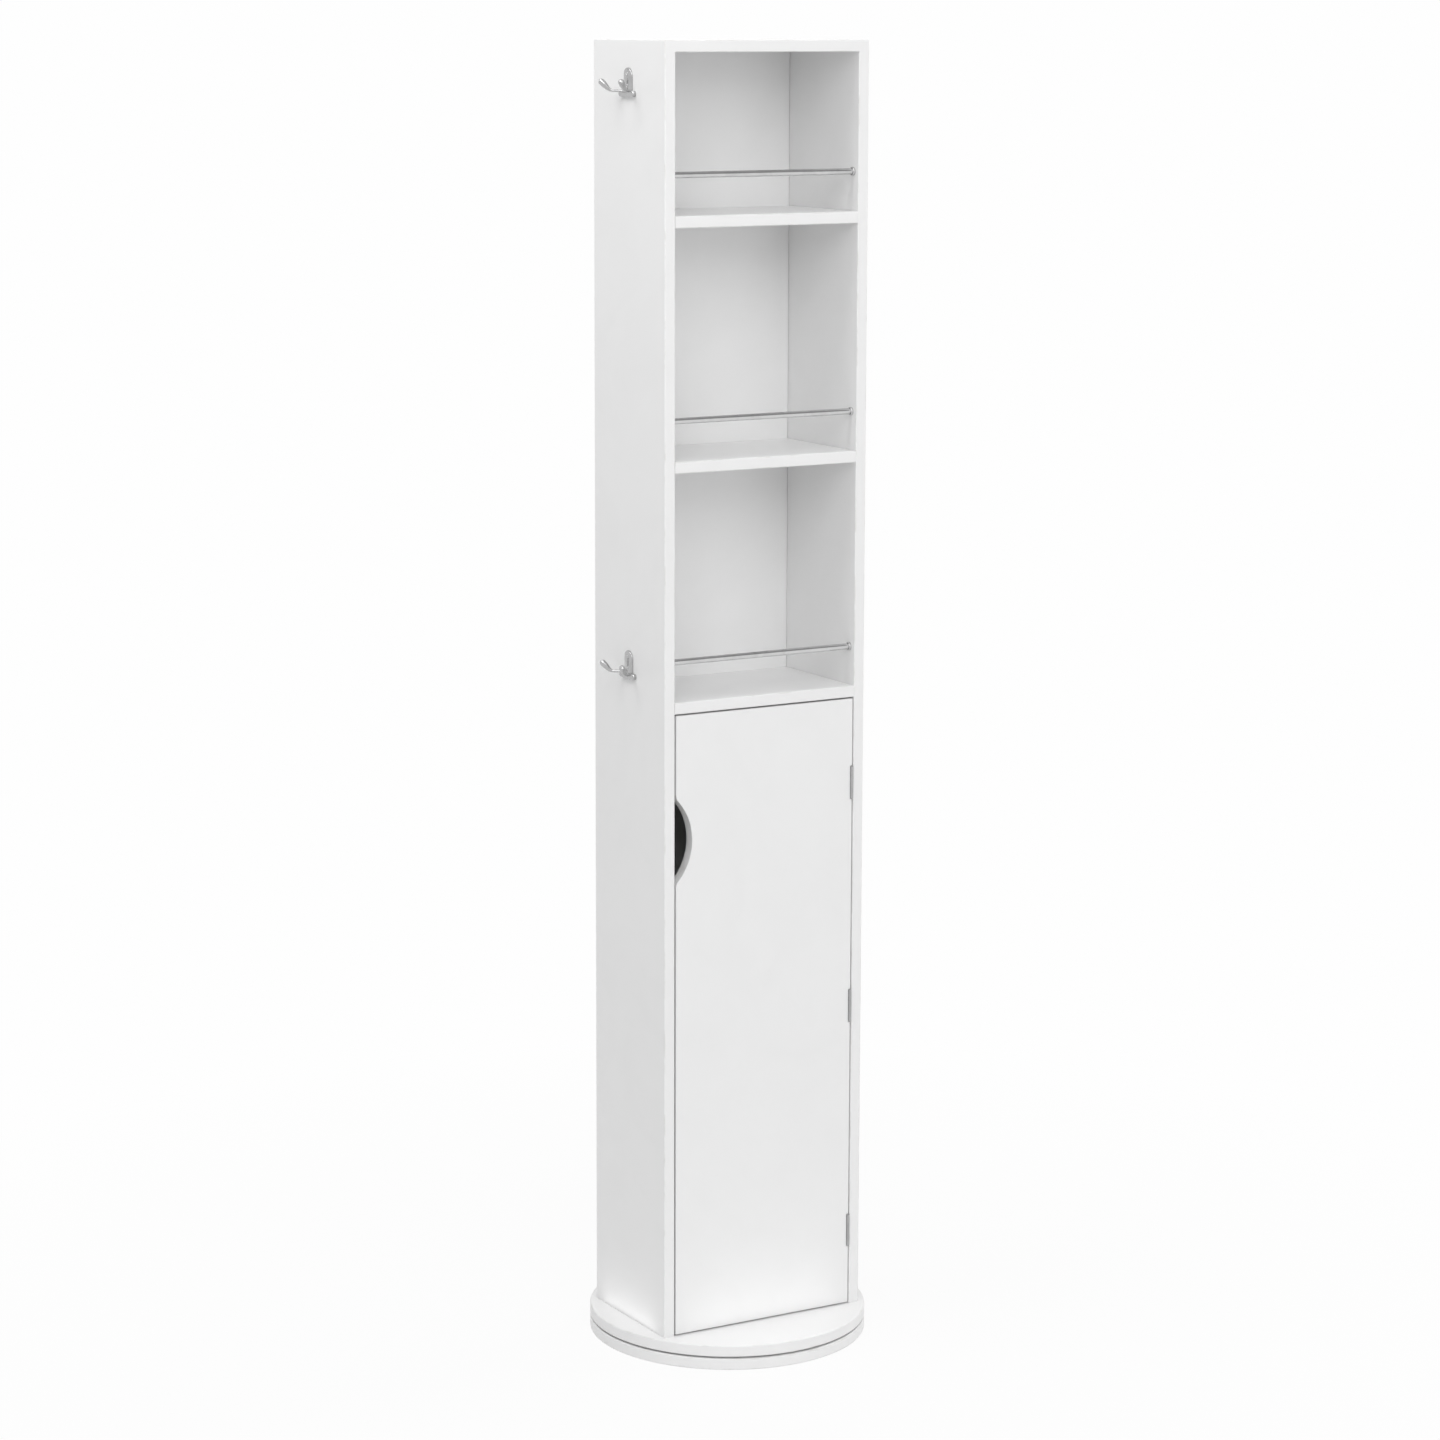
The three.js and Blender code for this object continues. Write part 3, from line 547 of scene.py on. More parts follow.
def finish(name, colour, skin, fade, roughness, spread, depth, smears=None, dull_smears=False, worn=None,
           **settings):
    """A material whose colour, roughness and relief wander over the surface.

    The skin is the outputs' group with its inputs. It shapes the relief, up to depth, and moves the roughness about
    its base value. The colour fades in smears of a given scale, or else where the skin is uneven. With dull smears
    the roughness follows them instead. Worn is the colour of rubbed edges. The rest is the shader's own.
    """
    tree, shader = new_finish(name, **settings)
    group, inputs = skin
    texture = place_group(tree, group, **inputs)
    uneven = faded = texture["Unevenness"]
    if smears:
        faded = place_group(tree, "Handling Marks", Smear_Scale=smears)["Smears"]
    if dull_smears:
        uneven = faded
    paint = blend_colours(tree, faded, opaque(colour), opaque(colour, fade))
    swing = calculate(tree, "SUBTRACT", uneven, 0.5)
    rough = calculate(tree, "MULTIPLY_ADD", swing, spread, roughness)
    if worn is not None:
        wear = place_group(tree, "Edge Wear", Patch_Scale=38.0, Amount=0.7)["Mask"]
        paint = blend_colours(tree, wear, paint, opaque(worn))
        rough = calculate(tree, "MULTIPLY_ADD", wear, 0.18, rough)
    bump = add_node(tree, "ShaderNodeBump", Height=texture["Height"], Distance=depth, Strength=1.0)
    feed(tree, shader["Base Color"], paint)
    feed(tree, shader["Roughness"], rough)
    feed(tree, shader["Normal"], bump.outputs["Normal"])


def relief(fine, broad, share):
    return "Surface Relief", {"Fine_Scale": fine, "Broad_Scale": broad, "Broad_Share": share}


def drawn(*stretch):
    return "Drawn Lines", {"Stretch": stretch, "Scale": 700.0}


def make_finishes(colours):
    """Lacquer with an orange peel and rubbed edges, drawn and cast metals, mirror glass and moulded plastic."""
    for build in (surface_relief_group, drawn_lines_group, edge_wear_group, handling_marks_group):
        build()
    finish("white_board", colours.board, relief(420.0, 22.0, 0.8), fade=0.985, roughness=0.36, spread=0.20,
           depth=0.00006, smears=9.0, worn=colours.board_wear, IOR=1.48)
    plated = {"fade": 0.90, "smears": 40.0, "Metallic": 1.0}
    finish("chrome", colours.chrome, drawn(0.02, 1.0, 1.0), roughness=0.05, spread=0.05, depth=0.000004, **plated)
    finish("hinge_steel", colours.hinge, drawn(1.0, 1.0, 0.04), roughness=0.30, spread=0.16, depth=0.00001, **plated)
    finish("bearing_steel", colours.bearing, drawn(1.0, 1.0, 0.3), roughness=0.20, spread=0.14, depth=0.000006,
           **plated)
    finish("satin_nickel", colours.nickel, relief(1500.0, 160.0, 0.4), fade=0.86, roughness=0.16, spread=0.10,
           depth=0.000004, smears=60.0, Metallic=1.0)
    finish("mirror", colours.silver, relief(3.0, 1.5, 1.0), fade=0.97, roughness=0.03, spread=0.03,
           depth=0.00008, smears=7.0, dull_smears=True, Metallic=1.0)
    finish("glass_edge", colours.glass_edge, relief(2400.0, 120.0, 0.5), fade=0.85, roughness=0.30, spread=0.20,
           depth=0.00002, IOR=1.52)
    finish("white_plastic", colours.plastic, relief(1300.0, 90.0, 0.3), fade=0.94, roughness=0.48, spread=0.16,
           depth=0.00005, IOR=1.49)


# Screws, which several fittings share. Their measures are shares of the head's radius

SHANK = 0.5
SHANK_END = 1.6
HEAD_DEPTH = 0.62
DOME = 0.28


def cross_recess(head, place, directions, reach, radius):
    """Cuts a cross into a screw's head."""
    for direction in directions:
        combine(head, "DIFFERENCE", rod("recess", place - direction * reach, place + direction * reach, radius, 4))


def domed_screw(place, out, radius):
    """A countersunk screw with a low dome and a cross recess. Its rim lies level with place."""
    profile = [(0, -radius * SHANK_END), (radius * SHANK, -radius * SHANK_END),
               (radius * SHANK, -radius * HEAD_DEPTH), (radius, 0)]
    profile += [(radius * math.cos(math.radians(a)), radius * DOME * math.sin(math.radians(a)))
                for a in (15, 35, 55, 75)]
    head = turned("head", profile + [(0, radius * DOME)], place, out, SMALL_STEPS)
    across = out.orthogonal().normalized()
    cross_recess(head, place + out * radius * 0.2, (across, out.cross(across)), radius * 0.58, radius * 0.13)
    return head


def flush_screw(place, out, radius, depth):
    """A flat head no deeper than its plate, with a cross recess along the axes that lie in its face."""
    profile = [(0, -depth * 0.9), (radius - depth * 0.7, -depth * 0.9), (radius, -depth * 0.15), (radius, 0), (0, 0)]
    head = turned("head", profile, place, out, SMALL_STEPS)
    directions = [axis for axis in AXES if not near(abs(axis.dot(out)), 1)]
    cross_recess(head, place, directions, radius * 0.6, radius * 0.16)
    return head


def countersink(place, out, radius):
    """What is cut away for a screw whose head has this radius."""
    mouth, bore = radius * 1.04, radius * 0.56
    profile = [(0, -radius * 3), (bore, -radius * 3), (bore, -radius * HEAD_DEPTH), (mouth, 0),
               (mouth, radius * 0.5), (0, radius * 0.5)]
    return turned("hole", profile, place, out, SMALL_STEPS)


def sink_holes(piece, spots, out, radius):
    for spot in spots:
        combine(piece, "DIFFERENCE", countersink(spot, out, radius))


class CABINET_OT_finishes(bpy.types.Operator):
    """Make the finishes of the boards, the metals, the mirror and the plastic"""

    bl_idname = "cabinet.finishes"
    bl_label = "Finishes"

    def execute(self, context):
        make_finishes(context.scene.cabinet_colours)
        return {"FINISHED"}


class CABINET_OT_discs(bpy.types.Operator):
    """Make the foot disc and the turning disc, with rounded rims and a pocket for the ball race"""

    bl_idname = "cabinet.discs"
    bl_label = "Discs"

    def execute(self, context):
        sizes = context.scene.cabinet_sizes
        chamfer, rim = sizes.joint_edge, sizes.disc_edge
        pocket_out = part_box("race_outer_ring")[1].x + sizes.pocket_play
        pocket_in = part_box("race_inner_ring")[1].x - sizes.race_ring_width - sizes.pocket_play
        for node, name, up in (("base_disc", "foot_disc", 1), ("turning_disc", "carousel_disc", -1)):
            low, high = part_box(node)
            radius, thick = high.x, high.z - low.z
            floor = thick - sizes.pocket_depth
            profile = [(0, 0), *arc(radius - rim, rim, rim, -90, 0), *arc(radius - rim, thick - rim, rim, 0, 90),
                       (pocket_out + chamfer, thick), (pocket_out, thick - chamfer), (pocket_out, floor),
                       (pocket_in, floor), (pocket_in, thick - chamfer), (pocket_in - chamfer, thick), (0, thick)]
            foot = low.z if up > 0 else high.z
            disc = turned(name, profile, (0, 0, foot), (0, 0, up), 180)
            dress(disc, node, "white_board", lambda normal: slanted(normal.z))
        return {"FINISHED"}


class CABINET_OT_ball_race(bpy.types.Operator):
    """Make the two grooved rings and the caged balls between them"""

    bl_idname = "cabinet.ball_race"
    bl_label = "Ball Race"

    def ring(self, sizes, node, name, away):
        """A ring with a round groove, chamfers and screw holes. Its back faces outwards (1) or inwards (-1)."""
        low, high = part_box(node)
        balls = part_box("ball_ring")
        middle = (balls[0].z + balls[1].z) / 2
        width, radius, cut = sizes.race_ring_width, sizes.groove_depth, 0.0005
        face = high.x - width if away > 0 else high.x
        back = face + away * width
        bottom, top = low.z - middle, high.z - middle
        groove = [(face + away * math.cos(math.radians(a)) * radius, radius * math.sin(math.radians(a)))
                  for a in range(-90, 91, 15)]
        profile = groove + [(face, top - cut), (face + away * cut, top), (back - away * cut, top),
                            (back, top - cut), (back, bottom + cut), (back - away * cut, bottom),
                            (face + away * cut, bottom), (face, bottom + cut), groove[0]]
        steps, hole_count, hole_radius = 144, 6, 0.0021
        piece = turned(name, profile, (0, 0, middle), (0, 0, 1), steps)
        modify(piece, "TRIANGULATE")
        level = high.z if away > 0 else low.z
        reach = back - away * width * 0.36
        holes = []
        for i in range(hole_count):
            turn = FULL_TURN * ((i + 0.5) / hole_count + 0.5 / steps)
            spot = Vector((reach * math.cos(turn), reach * math.sin(turn), level))
            holes.append(countersink(spot, Vector((0, 0, away)), hole_radius))
        combine(piece, "DIFFERENCE", *holes)
        dress(piece, node, "bearing_steel")

    def balls(self, sizes, node):
        """A thin cage band with the balls sitting in it."""
        low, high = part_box(node)
        middle = (low.z + high.z) / 2
        radius = sizes.ball_diameter / 2
        pitch = high.x - radius
        wall, half, cut = sizes.cage_thickness / 2, sizes.cage_height / 2, 0.0003
        inner, outer = pitch - wall, pitch + wall
        profile = [(inner, cut - half), (inner + cut, -half), *chamfered(outer, -half, half, cut),
                   (inner + cut, half), (inner, half - cut), (inner, cut - half)]
        cage = turned("ball_cage", profile, (0, 0, middle), (0, 0, 1), 168)
        smooth(cage)
        deselect()
        bpy.ops.mesh.primitive_uv_sphere_add(
            segments=SMALL_STEPS, ring_count=14, radius=radius, location=(pitch, 0, middle))
        settle()
        first = bpy.context.object
        bpy.ops.object.shade_smooth()
        others = [copy_of(first, "ball", turn=FULL_TURN * i / sizes.ball_count)
                  for i in range(1, sizes.ball_count)]
        fit(joined("caged_balls", cage, first, *others), node, "bearing_steel")

    def execute(self, context):
        sizes = context.scene.cabinet_sizes
        self.ring(sizes, "race_outer_ring", "outer_race", 1)
        self.ring(sizes, "race_inner_ring", "inner_race", -1)
        self.balls(sizes, "ball_ring")
        return {"FINISHED"}


class CABINET_OT_carcass(bpy.types.Operator):
    """Make the side, top and back panels and the fixed shelves"""

    bl_idname = "cabinet.carcass"
    bl_label = "Carcass"

    def side(self, sizes, side):
        """A side panel: rounded where it shows, sharp where the top panel meets it, with blind holes."""
        node = f"side_panel_{side}"
        low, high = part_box(node)
        inner, outer = (high.x, low.x) if SIDES[side] < 0 else (low.x, high.x)
        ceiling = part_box("top_panel")[0].z
        piece = block(f"{side}_side_board", low, (high.x, high.y, ceiling))
        crown = block("crown", (low.x, low.y, ceiling), high)
        outside = along("z", lambda a: near(a.x, outer))
        at_top = level_with("z", high.z)
        round_edges(piece, sizes.board_edge, along("z", lambda a: near(a.x, outer) or near(a.y, low.y)))
        round_edges(crown, sizes.board_edge, lambda a, b: outside(a, b) or at_top(a, b))
        combine(piece, "UNION", crown)
        mouths = []
        for place in ("lower", "upper"):
            for depth in ("front", "back"):
                pin = middle_of(f"shelf_pin_{place}_{side}_{depth}")
                mouths += [Vector((inner, pin.y, pin.z + row * sizes.pin_row_pitch)) for row in (-1, 0, 1)]
        for level in LEVELS:
            rail = middle_of(f"rail_{level}")
            mouths.append(Vector((inner, rail.y, rail.z)))
        into, play = Vector((SIDES[side], 0, 0)), 0.0003
        radius = sizes.pin_diameter / 2 + play
        combine(piece, "DIFFERENCE", *(
            rod("hole", mouth - into * PAST, mouth + into * sizes.hole_depth, radius, SMALL_STEPS)
            for mouth in mouths))
        dress(piece, node, "white_board", off_axis)

    def cross_board(self, sizes, node, name):
        """A board between the sides, rounded along the edges that show. A shelf is notched along its ends."""
        low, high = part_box(node)
        reach = abs(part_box("side_panel_left")[1].x)
        piece = block(name, (-reach, low.y, low.z), (reach, high.y, high.z))
        is_top = node == "top_panel"
        round_edges(piece, sizes.board_edge, along(
            "x", lambda a: near(a.y, low.y) or (is_top and near(a.y, high.y) and near(a.z, high.z))))
        if not is_top:
            for end in (-reach, reach):
                start, stop = (end, low.y + 2 * sizes.board_edge, high.z), (end, high.y + PAST, high.z)
                combine(piece, "DIFFERENCE", rod("notch", start, stop, sizes.corner_gap * 0.8, 4))
        dress(piece, node, "white_board", off_axis)

    def back(self, sizes):
        low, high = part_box("back_panel")
        piece = block("back_board", low, high)
        round_edges(piece, sizes.corner_gap, along("z", lambda a: near(a.y, low.y)))
        dress(piece, "back_panel", "white_board", lambda normal: False)

    def execute(self, context):
        sizes = context.scene.cabinet_sizes
        for side in SIDES:
            self.side(sizes, side)
        self.cross_board(sizes, "top_panel", "top_board")
        for level in LEVELS:
            self.cross_board(sizes, f"shelf_{level}", f"{level}_shelf_board")
        self.back(sizes)
        return {"FINISHED"}


class CABINET_OT_cupboard_shelves(bpy.types.Operator):
    """Make the two loose shelves in the cupboard and the pins that carry them"""

    bl_idname = "cabinet.cupboard_shelves"
    bl_label = "Cupboard Shelves"

    def execute(self, context):
        sizes = context.scene.cabinet_sizes
        for level in ("lower", "upper"):
            node = f"cupboard_shelf_{level}"
            low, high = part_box(node)
            piece = block(f"{level}_loose_shelf", low, high)
            round_edges(piece, sizes.board_edge * 0.8, lambda a, b: True)
            dress(piece, node, "white_board", off_axis)
            for side, sign in SIDES.items():
                for depth in ("front", "back"):
                    self.pin(sizes, f"shelf_pin_{level}_{side}_{depth}", f"{level}_{side}_{depth}_peg", sign)
        return {"FINISHED"}

    def pin(self, sizes, node, name, sign):
        """A turned pin with a collar, rounded at both ends and grooved where it sits in the panel."""
        low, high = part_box(node)
        radius, collar, cut = sizes.pin_diameter / 2, (high.z - low.z) / 2, 0.0004
        length, buried = high.x - low.x, sizes.pin_buried_length
        shoulder = buried + sizes.pin_collar_length
        profile = [(0, 0), (radius - 2 * cut, 0), (radius, 2 * cut)]
        for share in (0.4, 0.6, 0.8):
            notch = buried * share
            profile += [(radius, notch - cut), (radius - cut * 0.7, notch), (radius, notch + cut)]
        profile += [(radius, buried), *chamfered(collar, buried, shoulder, cut), (radius, shoulder)]
        profile += arc(radius - 2 * cut, length - 2 * cut, 2 * cut, 0, 90, 4) + [(0, length)]
        dress(turned_across(name, profile, low, high, sign, 28), node, "bearing_steel")


class CABINET_OT_door(bpy.types.Operator):
    """Make the door, with rounded edges, a finger cut-out and grooves for the hinge knuckles"""

    bl_idname = "cabinet.door"
    bl_label = "Door"

    def cutter(self, sizes, low, high):
        """What the finger cut-out takes away: a round bar, flared where it meets the door's edge."""
        depth, flare, past = sizes.cutout_depth, sizes.cutout_flare, 0.005
        radius = ((sizes.cutout_chord / 2) ** 2 + depth ** 2) / (2 * depth)
        centre = Vector((low.x + depth - radius, 0, high.z - sizes.cutout_below_top))
        front, back = low.y - past, high.y + past
        bar = rod("cutter", (centre.x, front, centre.z), (centre.x, back, centre.z), radius, LARGE_STEPS)
        side = low.x + flare
        rise = math.sqrt((radius + flare) ** 2 - (side - centre.x) ** 2)
        touch = centre.x + radius * (side - centre.x) / (radius + flare)
        ends = block("ends", (low.x - 0.003, front, centre.z - rise), (touch, back, centre.z + rise))
        for height in (centre.z - rise, centre.z + rise):
            round_bar = rod("round", (side, front - PAST, height), (side, back + PAST, height), flare, 96)
            combine(ends, "DIFFERENCE", round_bar)
        combine(bar, "UNION", ends)
        return bar

    def execute(self, context):
        sizes = context.scene.cabinet_sizes
        low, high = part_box("door")
        piece = block("cupboard_door", low, high)
        combine(piece, "DIFFERENCE", self.cutter(sizes, low, high))
        modify(piece, "BEVEL", width=sizes.board_edge, segments=3, limit_method="ANGLE",
               angle_limit=math.radians(25))
        mark_edges(piece, lambda normal: slanted(normal.y) or off_axis(normal))
        past = 0.0005
        for place in HINGES:
            low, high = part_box(f"hinge_{place}_pin")
            axis = (low + high) / 2
            start, end = (axis.x, axis.y, low.z - past), (axis.x, axis.y, high.z + past)
            groove = rod("groove", start, end, sizes.knuckle_diameter / 2 + sizes.groove_play, 48)
            combine(piece, "DIFFERENCE", groove)
        dress(piece, "door", "white_board")
        return {"FINISHED"}


class CABINET_OT_gallery_rails(bpy.types.Operator):
    """Make the three gallery rails and their six flanged sockets"""

    bl_idname = "cabinet.gallery_rails"
    bl_label = "Gallery Rails"

    def rail(self, node, name):
        """A plain bar with chamfered ends. Gives back its radius."""
        low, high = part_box(node)
        radius, length, cut = (high.z - low.z) / 2, high.x - low.x, 0.0006
        profile = [(0, 0), *chamfered(radius, 0, length, cut), (0, length)]
        dress(turned_across(name, profile, low, high, -1, 64), node, "chrome")
        return radius

    def socket(self, sizes, node, name, sign, rail_radius):
        """A flange with a rounded rim, a cup for the rail and a ribbed spigot in the panel."""
        low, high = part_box(node)
        length, flange = high.x - low.x, (high.z - low.z) / 2
        spigot, buried = sizes.pin_diameter / 2, length - sizes.socket_length
        mouth, rim, lead, rib, cut = rail_radius + 0.00025, 0.0009, 0.0006, 0.0003, 0.0002
        cup = buried + 0.001
        profile = [(0, 0), (spigot - lead, 0), (spigot, lead)]
        for share in (0.25, 0.5, 0.75):
            profile += [(spigot, buried * share), (spigot - rib, buried * share + rib)]
        profile += [(spigot, buried), (flange - cut, buried), (flange, buried + cut)]
        profile += arc(flange - rim, length - rim, rim, 0, 90)
        profile += [(mouth + cut, length), (mouth, length - cut), (mouth, cup), (0, cup)]
        dress(turned_across(name, profile, low, high, sign, 48), node, "chrome")

    def execute(self, context):
        sizes = context.scene.cabinet_sizes
        for level in LEVELS:
            radius = self.rail(f"rail_{level}", f"{level}_gallery_rail")
            for side, sign in SIDES.items():
                self.socket(sizes, f"rail_socket_{level}_{side}", f"{level}_{side}_rail_cup", sign, radius)
        return {"FINISHED"}


class CABINET_OT_hinges(bpy.types.Operator):
    """Make the three butt hinges: leaves with rolled knuckles, their screws, and pins with heads"""

    bl_idname = "cabinet.hinges"
    bl_label = "Hinges"

    def leaf(self, sizes, node, name, side, knuckles, axis):
        """One leaf: side is 1 for the leaf on the frame. Knuckles are (start, end) heights."""
        low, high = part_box(node)
        thick, clear, cut = sizes.leaf_thickness, 0.0001, 0.0002
        board_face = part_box("side_panel_right")[0].x if side > 0 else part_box("door")[1].x
        outer_face = board_face - side * clear
        inner_face = outer_face - side * thick
        bore, radius = sizes.knuckle_bore / 2, sizes.knuckle_diameter / 2
        left, right = sorted((inner_face, outer_face))
        edge = axis.y + radius + 0.0006
        plate = block(name, (left, edge, low.z), (right, high.y, high.z))
        round_edges(plate, 0.0015, along("x", lambda a: near(a.y, high.y)), 4)
        rolls = []
        for start, end in knuckles:
            profile = [(bore, start), *chamfered(radius, start, end, cut), (bore, end), (bore, start)]
            roll = turned("roll", profile, (axis.x, axis.y, 0), (0, 0, 1), 40)
            root = axis.y if side > 0 else axis.y + (bore + radius) / 2
            combine(roll, "UNION", block("tongue", (left, root, start), (right, edge + 0.0005, end)))
            rolls.append(roll)
        for roll in rolls:
            combine(plate, "UNION", roll)
        out = Vector((-side, 0, 0))
        across, middle, hole, head = (edge + high.y) / 2, (low.z + high.z) / 2, 0.0021, 0.0020
        spots = [Vector((inner_face, across + shift, middle + rise)) for shift, rise in
                 ((0.001, -0.0150), (-0.0012, 0.0), (0.001, 0.0150))]
        sink_holes(plate, spots, out, hole)
        dress(plate, node, "hinge_steel")
        heads = [flush_screw(spot - out * clear, out, head, thick) for spot in spots]
        add_joined(f"{name}_screws", heads, BODY_OF[node], "hinge_steel")

    def pin(self, sizes, node, name, axis):
        """The pin through the knuckles, with a rounded head at either end."""
        low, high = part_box(node)
        length, head, play = high.z - low.z, (high.x - low.x) / 2, 0.0003
        cap, shaft = sizes.pin_head_thickness, sizes.knuckle_bore / 2 - play
        rim = cap * 0.7
        profile = [(0, 0), *arc(head - rim, rim, rim, -90, 0, 4), (head, cap), (shaft, cap),
                   (shaft, length - cap), (head, length - cap), *arc(head - rim, length - rim, rim, 0, 90, 4),
                   (0, length)]
        dress(turned(name, profile, (axis.x, axis.y, low.z), (0, 0, 1), 32), node, "hinge_steel")

    def execute(self, context):
        sizes = context.scene.cabinet_sizes
        door_half, play = sizes.door_knuckle_length / 2, 0.0003
        gap = door_half + play
        for place in HINGES:
            axis = middle_of(f"hinge_{place}_pin")
            low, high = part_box(f"hinge_{place}_frame_leaf")
            middle, half = (low.z + high.z) / 2, (high.z - low.z) / 2
            self.leaf(sizes, f"hinge_{place}_frame_leaf", f"{place}_hinge_frame_half", 1,
                      [(middle - half, middle - gap), (middle + gap, middle + half)], axis)
            self.leaf(sizes, f"hinge_{place}_door_leaf", f"{place}_hinge_door_half", -1,
                      [(middle - door_half, middle + door_half)], axis)
            self.pin(sizes, f"hinge_{place}_pin", f"{place}_hinge_bolt", axis)
        return {"FINISHED"}


class CABINET_OT_magnetic_catch(bpy.types.Operator):
    """Make the magnetic catch under the fixed shelf and its striker on the door"""

    bl_idname = "cabinet.magnetic_catch"
    bl_label = "Magnetic Catch"

    def housing(self):
        """The plastic body with its mouth, the steel pole plates in it and two screws through it."""
        low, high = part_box("catch_body")
        middle = (low + high) / 2
        down, mouth_depth, hole, head, sunk = Vector((0, 0, -1)), 0.0012, 0.0022, 0.0020, 0.0004
        body = block("catch_housing", low, high)
        round_edges(body, 0.0025, along("z"), 5)
        round_edges(body, 0.0004, level_with("z", low.z), 2)
        combine(body, "DIFFERENCE", block(
            "mouth", (middle.x - 0.0125, low.y - PAST, middle.z - 0.0036),
            (middle.x + 0.0125, low.y + mouth_depth, middle.z + 0.0036)))
        spots = [Vector((middle.x + shift, middle.y + 0.001, low.z)) for shift in (-0.0160, 0.0160)]
        sink_holes(body, spots, down, hole)
        dress(body, "catch_body", "white_plastic")
        plates = []
        for rise in (-0.0021, 0.0021):
            centre = Vector((middle.x, low.y + mouth_depth, middle.z + rise))
            plate = block("pole", centre - Vector((0.0122, 0.0009, 0.0007)), centre + Vector((0.0122, 0.002, 0.0007)))
            round_edges(plate, 0.0002, lambda a, b: near(a.y, b.y), 2)
            plates.append(plate)
        add_joined("catch_pole_plates", plates, BODY_OF["catch_body"], "bearing_steel")
        heads = [domed_screw(spot - down * sunk, down, head) for spot in spots]
        add_joined("catch_screws", heads, BODY_OF["catch_body"], "hinge_steel")

    def striker(self):
        """The rounded steel plate on the door's back, with two screws."""
        low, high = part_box("catch_striker")
        middle, out = (low + high) / 2, Vector((0, 1, 0))
        piece = block("striker_plate", low, high)
        round_edges(piece, 0.0025, along("y"), 5)
        round_edges(piece, 0.0003, level_with("y", high.y), 2)
        hole, head, head_depth, sunk = 0.0022, 0.0021, 0.0010, 0.0001
        spots = [Vector((middle.x + shift, high.y, middle.z)) for shift in (-0.0095, 0.0095)]
        sink_holes(piece, spots, out, hole)
        heads = [flush_screw(spot - out * sunk, out, head, head_depth) for spot in spots]
        dress(piece, "catch_striker", "hinge_steel")
        add_joined("striker_screws", heads, BODY_OF["catch_striker"], "hinge_steel")

    def execute(self, context):
        self.housing()
        self.striker()
        return {"FINISHED"}


